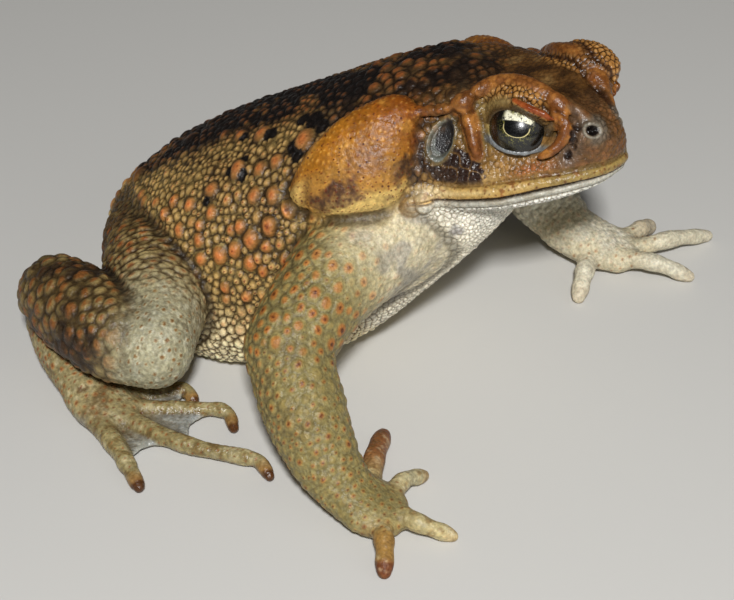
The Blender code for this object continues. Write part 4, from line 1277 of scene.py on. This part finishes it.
def knee_look(points, tint, amount, body):
    fleck = mixed_noise(points, 1.5, 84)
    paint(tint, (136, 130, 100), amount * (1 - 0.7 * body.pillow(0.3)))
    paint(tint, (160, 156, 128), amount * (0.6 + 0.4 * body.pillow(0.3)))
    paint(tint, (182, 180, 158), amount * smooth(0.0, 0.5, fleck) * 0.6)
    paint(tint, (112, 78, 38), amount * smooth(0.3, 0.12, body.near) * (body.luck() > 0.25))


def shank_colours(points, places, nearest, cells, side):
    cell = cells["shank_" + side]
    blot, fleck = mixed_noise(points, 6, 90), mixed_noise(points, 1.5, 92)
    tint = plain((78, 62, 34), len(points))
    paint(tint, (96, 80, 46), cell.pillow(0.6))
    paint(tint, (130, 112, 70), smooth(0.6, 0.3, cell.near) * smooth(-0.2, 0.5, -blot + 0.3 * fleck))
    paint(tint, (118, 68, 28), smooth(0.5, 0.2, cell.near + 0.4 * fleck) * (cell.luck() > 0.25) * 0.8)
    paint(tint, (34, 22, 12), smooth(0.15, 0.5, blot + 0.35 * fleck) * 0.75)
    paint(tint, (168, 156, 120), smooth(10, 4, points[:, 2]) * 0.7)
    knee_look(points, tint, knee_weight(nearest), cells["body"])
    return tint


def foot_colours(points, share, body):
    blot, fleck = mixed_noise(points, 5, 100), mixed_noise(points, 1.3, 102)
    tint = plain((144, 132, 92), len(points))
    ankle = share["ankle"]
    paint(tint, (70, 46, 22), smooth(0.1, 0.4, blot + 0.2 * fleck) * (0.45 + 0.4 * ankle))
    paint(tint, (182, 172, 138), smooth(0.1, 0.5, -fleck) * 0.6)
    paint(tint, (148, 92, 44), smooth(0.42, 0.28, body.near) * (body.luck() > 0.3) * (0.35 + 0.5 * ankle))
    paint(tint, (110, 54, 24), smooth(0.17, 0.1, body.near) * 0.9)
    return tint


# How strongly the painted shade in the hollows and the painted light on the rises are laid on each part.
SHADE_FORCE = {"trunk": 0.82, "head": 0.7, "gland": 0.5, "upper": 0.6, "fore": 0.6, "palm": 0.6, "fingers": 0.6,
               "thigh": 0.9, "shank": 0.6, "ankle": 0.6, "sole": 0.6, "toes": 0.6}


def standing(points, edges, normals, rounds):
    """How far each point stands out of the skin round it, as -1 to 1. More rounds look at wider forms."""
    out = ((points - relaxed(points, edges, np.ones(len(points)), rounds)) * normals).sum(axis=1)
    return np.tanh(out / np.percentile(np.abs(out), 80))


def skin_colours(points, edges, normals, share, nearest, places, cells):
    """Every part's colours, blended where parts meet, with painted shade in the creases and hollows and painted
    light on the rises.
    """
    h = outward_head(points)
    body = cells["body"]
    layers = [
        (share["trunk"], trunk_colours(points, normals, body, h)),
        (share["head"], head_colours(points, h, body)),
        (share["gland"], gland_colours(points, nearest, body)),
        (share["upper"] + share["fore"] + share["palm"], arm_colours(points, share, body)),
        (share["fingers"], finger_colours(points, places, body)),
        (share["toes"], toe_colours(points, nearest, body)),
        (share["ankle"] + share["sole"], foot_colours(points, share, body)),
    ]
    for part, look in (("thigh", thigh_colours), ("shank", shank_colours)):
        for side, _ in SIDES:
            here = share[part] * (places[part + "_" + side].distance <= nearest[part].distance + 1e-6)
            layers.append((here, look(points, places, nearest, cells, side)))
    total = sum(weight for weight, _ in layers)
    tint = sum(weight[:, None] * colour for weight, colour in layers) / total[:, None]
    # Painted shade in the creases where two parts meet.
    tint = tint * (1 - 0.45 * creases(share, nearest))[:, None]
    relief = 0.55 * standing(points, edges, normals, 5) + 0.45 * standing(points, edges, normals, 30)
    force = sum(share[part] * amount for part, amount in SHADE_FORCE.items())
    force = force * (1 - 0.5 * smooth(7, 13, points[:, 0]) * smooth(52, 46, points[:, 2]))
    relief *= force
    # Painted shade darkens the hollows and a painted highlight lightens the skin that stands out.
    hollow, top = np.clip(-relief, 0, 1)[:, None], np.clip(relief, 0, 1)[:, None]
    tint = tint * (1 - hollow * (0.52, 0.6, 0.7)) * (1 + 0.16 * top)
    knobs = knob_cover(level_head(points))
    paint(tint, (120, 88, 50), hump(knobs, 0.1, 0.12) * 0.6)
    paint(tint, (216, 182, 122), smooth(0.2, 0.5, knobs))
    return tint


def to_linear(srgb):
    value = np.clip(srgb / 255.0, 0, 1)
    return np.where(value <= 0.04045, value / 12.92, ((value + 0.055) / 1.055) ** 2.4)


def store(obj, name, values):
    """Keeps a colour or a number for every point of a mesh."""
    if values.ndim == 2:
        layer = obj.data.attributes.new(name, "FLOAT_COLOR", "POINT")
        layer.data.foreach_set("color", np.column_stack([values, np.ones(len(values))]).ravel())
    else:
        layer = obj.data.attributes.new(name, "FLOAT", "POINT")
        layer.data.foreach_set("value", values)


# Materials.


class Nodes:
    """A short way to write a material's nodes."""

    def __init__(self, name):
        self.material = bpy.data.materials.new(name)
        self.material.use_nodes = True
        self.tree = self.material.node_tree
        self.surface = self.tree.nodes["Principled BSDF"]

    def surface_takes(self, **values):
        """Sets the surface's inputs, named with _ for a space."""
        for name, value in values.items():
            self.put(self.surface.inputs[name.replace("_", " ")], value)

    def put(self, socket, value):
        if isinstance(value, bpy.types.NodeSocket):
            self.tree.links.new(value, socket)
        elif value is not None:
            socket.default_value = value

    def add(self, kind, output=0, settings=None, **inputs):
        node = self.tree.nodes.new("ShaderNode" + kind)
        for key, value in (settings or {}).items():
            setattr(node, key, value)
        for key, value in inputs.items():
            self.put(node.inputs[int(key[1:]) if key[0] == "i" and key[1:].isdigit() else key], value)
        return node.outputs[output]

    def attribute(self, name, output="Fac"):
        return self.add("Attribute", output, {"attribute_name": name, "attribute_type": "GEOMETRY"})

    def math(self, operation, a, b=None):
        return self.add("Math", 0, {"operation": operation}, i0=a, i1=b)

    def span(self, value, low, high, to_low=0.0, to_high=1.0):
        return self.add("MapRange", 0, {"interpolation_type": "SMOOTHSTEP"}, **{
            "Value": value, "From Min": low, "From Max": high, "To Min": to_low, "To Max": to_high})

    def place(self):
        return self.add("TexCoord", "Object")

    def noise(self, width, detail=2.0):
        return self.add("TexNoise", 0, Vector=self.place(), Scale=1000 / width, Detail=detail)

    def cells(self, width):
        return self.add("TexVoronoi", "Distance", Vector=self.place(), Scale=1000 / width)

    def blend(self, amount, a, b, kind="MIX"):
        settings = {"data_type": "RGBA", "blend_type": kind, "clamp_result": True}
        return self.add("Mix", 2, settings, i0=amount, i6=a, i7=b)

    def bump(self, height, depth, after=None):
        """depth is in millimetres."""
        return self.add("Bump", 0, Height=height, Distance=depth * MM, Strength=1.0, Normal=after)


def skin_material():
    n = Nodes("toad_skin")
    tint = n.attribute("tint", "Color")
    fine = n.span(n.noise(0.8, 3), 0.3, 0.7, 0.78, 1.2)
    broad = n.span(n.noise(5.0, 2), 0.3, 0.7, 0.9, 1.1)
    shade = n.math("MULTIPLY", fine, broad)
    grey = n.add("CombineColor", 0, i0=shade, i1=shade, i2=shade)
    tint = n.blend(1.0, tint, grey, "MULTIPLY")
    dot = n.math("MULTIPLY", n.span(n.cells(1.5), 0.2, 0.13), n.span(n.noise(4.0), 0.42, 0.55))
    dot = n.math("MULTIPLY", dot, n.attribute("pores"))
    tint = n.blend(dot, tint, (0.07, 0.015, 0.005, 1))
    uneven = n.span(n.noise(1.4, 3), 0.2, 0.8, -0.09, 0.12)
    rough = n.math("ADD", n.span(n.attribute("wet"), 0, 1, 0.46, 0.26), uneven)
    grain = n.math("MULTIPLY", n.cells(0.75), n.attribute("grain"))
    bump = n.bump(n.noise(0.35, 2), 0.1, n.bump(grain, 0.28))
    n.surface_takes(Base_Color=tint, Roughness=rough, Normal=bump, Specular_IOR_Level=0.35, Subsurface_Weight=0.06,
                    Subsurface_Radius=(1.0, 0.45, 0.25), Subsurface_Scale=0.0012)
    return n.material


def eye_material():
    n = Nodes("toad_eye")
    n.surface_takes(Base_Color=n.attribute("tint", "Color"), Roughness=n.span(n.noise(0.3), 0.3, 0.7, 0.22, 0.34),
                    Normal=n.bump(n.noise(0.4), 0.02), Coat_Weight=0.6, Coat_Roughness=0.03)
    return n.material


# The eyes.


def eyeball(side):
    """One eye, its clear front bulging a little, coloured as seen along the way it looks."""
    look, ahead, up = eye_axes()
    bend = math.pi * np.linspace(0, 1, EYE_RINGS + 1)[1:-1] ** 1.25
    turn = np.linspace(0, 2 * math.pi, EYE_TURNS, endpoint=False)
    far = EYE_RADIUS + 0.35 * np.exp(-((bend / 0.75) ** 2))
    across = np.outer(np.cos(turn), ahead) + np.outer(np.sin(turn), up)
    rows = [r * (math.cos(a) * look + math.sin(a) * across) for a, r in zip(bend, far)]
    mesh = closed_over(from_head((np.array(rows) + EYE_CENTRE) * (1, side, 1)))
    obj = object_from("eye_ball_" + ("left" if side > 0 else "right"), mesh)
    flat = (unit(outward_head(read_points(obj)) - EYE_CENTRE) - look) * EYE_RADIUS
    x, y = flat @ ahead, flat @ up
    store(obj, "tint", to_linear(eye_colours(x - PUPIL[0], y - PUPIL[1])))
    obj.data.shade_smooth()
    return obj


def eye_colours(x, y):
    """The iris and pupil, from the place ahead of and above the pupil's middle in millimetres."""
    p = np.column_stack([x, y, np.zeros_like(x)])
    far = np.hypot(x, y)
    turn = np.column_stack([far * 0.5, np.arctan2(y, x) * 5, np.zeros_like(x)])
    speck, rays = noise(p, 0.17, 110), noise(turn, 0.5, 111)
    pupil = (np.abs(x / 2.35) ** 2.2 + np.abs(y / np.where(y > 0, 1.15, 1.75)) ** 2.2) ** (1 / 2.2)
    tint = plain((7, 7, 4), len(x))
    below = smooth(5.0, 2.4, far) * smooth(1.3, 0.4, y)
    paint(tint, (108, 104, 46), smooth(0.25, 0.55, speck + 0.3 * rays) * below * 0.9)
    over = smooth(1.0, 1.6, y) * smooth(4.2, 3.0, far)
    paint(tint, (96, 92, 44), over * smooth(-0.3, 0.4, speck + 0.5 * rays))
    band = smooth(1.0, 1.3, y + 0.05 * x**2) * smooth(3.1, 2.0, y + 0.1 * x + 0.4 * rays)
    band *= smooth(3.6, 2.4, np.abs(x))
    paint(tint, (236, 232, 204), band * smooth(-0.75, -0.25, speck + 0.2 * rays))
    paint(tint, (208, 194, 140), hump(pupil, 1.09, 0.07) * smooth(0.5, -0.2, y) * 1.3)
    paint(tint, (5, 5, 5), smooth(1.05, 0.98, pupil))
    return tint


# The skin, shaped and coloured in steps.

skin = fused("skin", body_forms(), VOXEL)
points, edges = read_points(skin), read_edges(skin)
nearest, share = part_shares(find_places(points))
blendable = np.clip(1 - share["fingers"] - share["toes"] - share["sole"] - 0.7 * share["palm"], 0.15, 1)
ridge_guard = share["head"] * smooth(-2, 4, to_head(points)[:, 0])
points = relaxed(points, edges, blendable * (1 - 0.8 * ridge_guard), BLENDING_ROUNDS)
points = relaxed(points, edges, np.ones(len(points)), 4)
write_points(skin, points)
chest = (points[:, 0] > 6) & (points[:, 2] < 52) & (share["trunk"] > 0.3)
finer_where(skin, (share["head"] > 0.35) & (to_head(points)[:, 0] > -6) | chest)
points, edges = read_points(skin), read_edges(skin)
points = relaxed(points, edges, np.ones(len(points)), 3)
places = find_places(points)
nearest, share = part_shares(places)
points = open_eyes(points)
write_points(skin, points)
normals = read_normals(skin)
raised = head_relief(points, normals, share["head"]) + fold_relief(points, places, share)
points = points + normals * raised[:, None]
write_points(skin, points)
cells = thrown_cells(points, normals, share, nearest, places)
points = points + normals * wart_relief(points, normals, share, nearest, cells)[:, None]
points[:, 2] = np.maximum(points[:, 2], 0)
write_points(skin, points)
skin.data.shade_smooth()
store(skin, "tint", to_linear(skin_colours(points, edges, normals, share, nearest, places, cells)))
head_point = outward_head(points)
throat = share["head"] * smooth(-1.6, -2.6, mouth_height(head_point))
store(skin, "pores", np.clip(share["gland"] + 0.5 * share["trunk"] * (cells["body"].near < 0.4), 0, 1))
wet = share["head"] + 0.4 * share["gland"] + 0.25 * share["trunk"] + share["toes"] - throat
store(skin, "wet", np.clip(wet, 0, 1))
ear_place = head_point - (EAR_CENTRE[0], 20.0, EAR_CENTRE[2])
bare = np.maximum(crest_cover(points), smooth(5.0, 3.6, np.linalg.norm(ear_place, axis=1)))
grain = 0.5 + 0.5 * throat - 0.35 * share["gland"] - 0.45 * bare * share["head"]
store(skin, "grain", np.clip(grain, 0, 1))
skin.data.materials.append(skin_material())

balls = [eyeball(-1), eyeball(1)]
gloss = eye_material()
for ball_piece in balls:
    ball_piece.data.materials.append(gloss)

# Onto the model's origin, and what each piece stands for.

for piece in [skin] + balls:
    write_points(piece, read_points(piece) - ORIGIN)
SKIN_NODES = ["head", "lower_jaw", "trunk"] + [
    part + "_" + side
    for part in ("eardrum", "parotoid_gland", "upper_arm", "forearm", "hand", "thigh", "shank", "ankle", "foot")
    for side in ("right", "left")
]
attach(skin, "root")
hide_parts(*SKIN_NODES)
for piece, node in zip(balls, ("eye_right", "eye_left")):
    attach(piece, "root")
    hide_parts(node)

# Floor, lights and camera.

CAMERA_AZIMUTH, CAMERA_ELEVATION, CAMERA_ROLL = (math.radians(a) for a in (25.97, 36.99, -1.05))
CAMERA_DISTANCE = 503.6
FOCAL_PIXELS, SHIFT_PIXELS = 2201.0, (0.1, 16.8)
PICTURE_WIDTH, SENSOR = 734, 36.0
# In metres.
FLOOR_HALF_WIDTH = 3
LIGHTS_AIM = (0, 0, 0.03)


def camera_axes():
    """The camera's right, up and back, from the toad's front and floor."""
    a, e, r = CAMERA_AZIMUTH, CAMERA_ELEVATION, CAMERA_ROLL
    back = Vector((math.sin(a) * math.cos(e), -math.cos(a) * math.cos(e), math.sin(e)))
    right = Vector((math.cos(a), math.sin(a), 0))
    up = back.cross(right)
    return right * math.cos(r) + up * math.sin(r), up * math.cos(r) - right * math.sin(r), back


def place_camera():
    right, up, back = camera_axes()
    data = bpy.data.cameras.new("camera")
    data.sensor_width = SENSOR
    data.lens = FOCAL_PIXELS / PICTURE_WIDTH * SENSOR
    data.shift_x, data.shift_y = -SHIFT_PIXELS[0] / PICTURE_WIDTH, SHIFT_PIXELS[1] / PICTURE_WIDTH
    camera = bpy.data.objects.new("camera", data)
    bpy.context.scene.collection.objects.link(camera)
    camera.matrix_world = Matrix((right, up, back)).transposed().to_4x4()
    camera.matrix_world.translation = (back * CAMERA_DISTANCE - Vector(ORIGIN)) * MM
    bpy.context.scene.camera = camera


def place_light(name, across, above, behind, size, power):
    """A soft square lamp, placed in metres from the toad along the camera's own axes and facing the toad."""
    right, up, back = camera_axes()
    data = bpy.data.lights.new(name, "AREA")
    data.size = size
    data.energy = power
    lamp = bpy.data.objects.new(name, data)
    bpy.context.scene.collection.objects.link(lamp)
    spot = right * across + up * above + back * behind
    lamp.location = Vector(LIGHTS_AIM) + spot
    lamp.rotation_euler = spot.to_track_quat("Z", "Y").to_euler()


floor_mesh = bmesh.new()
bmesh.ops.create_grid(floor_mesh, x_segments=2, y_segments=2, size=FLOOR_HALF_WIDTH)
floor = object_from("floor", floor_mesh)
pale = Nodes("pale_floor")
pale.surface_takes(Base_Color=(0.62, 0.61, 0.58, 1), Roughness=0.8)
floor.data.materials.append(pale.material)

place_light("key", 0.02, 0.10, 0.94, 0.07, 9.6)
place_light("fill", 0.7, 0.0, 0.75, 0.8, 1.0)
sky = bpy.data.worlds.new("sky")
sky.use_nodes = True
background = sky.node_tree.nodes["Background"]
background.inputs["Color"].default_value = (1.0, 0.98, 0.95, 1)
background.inputs["Strength"].default_value = 0.05
bpy.context.scene.world = sky
bpy.context.scene.view_settings.view_transform = "Standard"
place_camera()
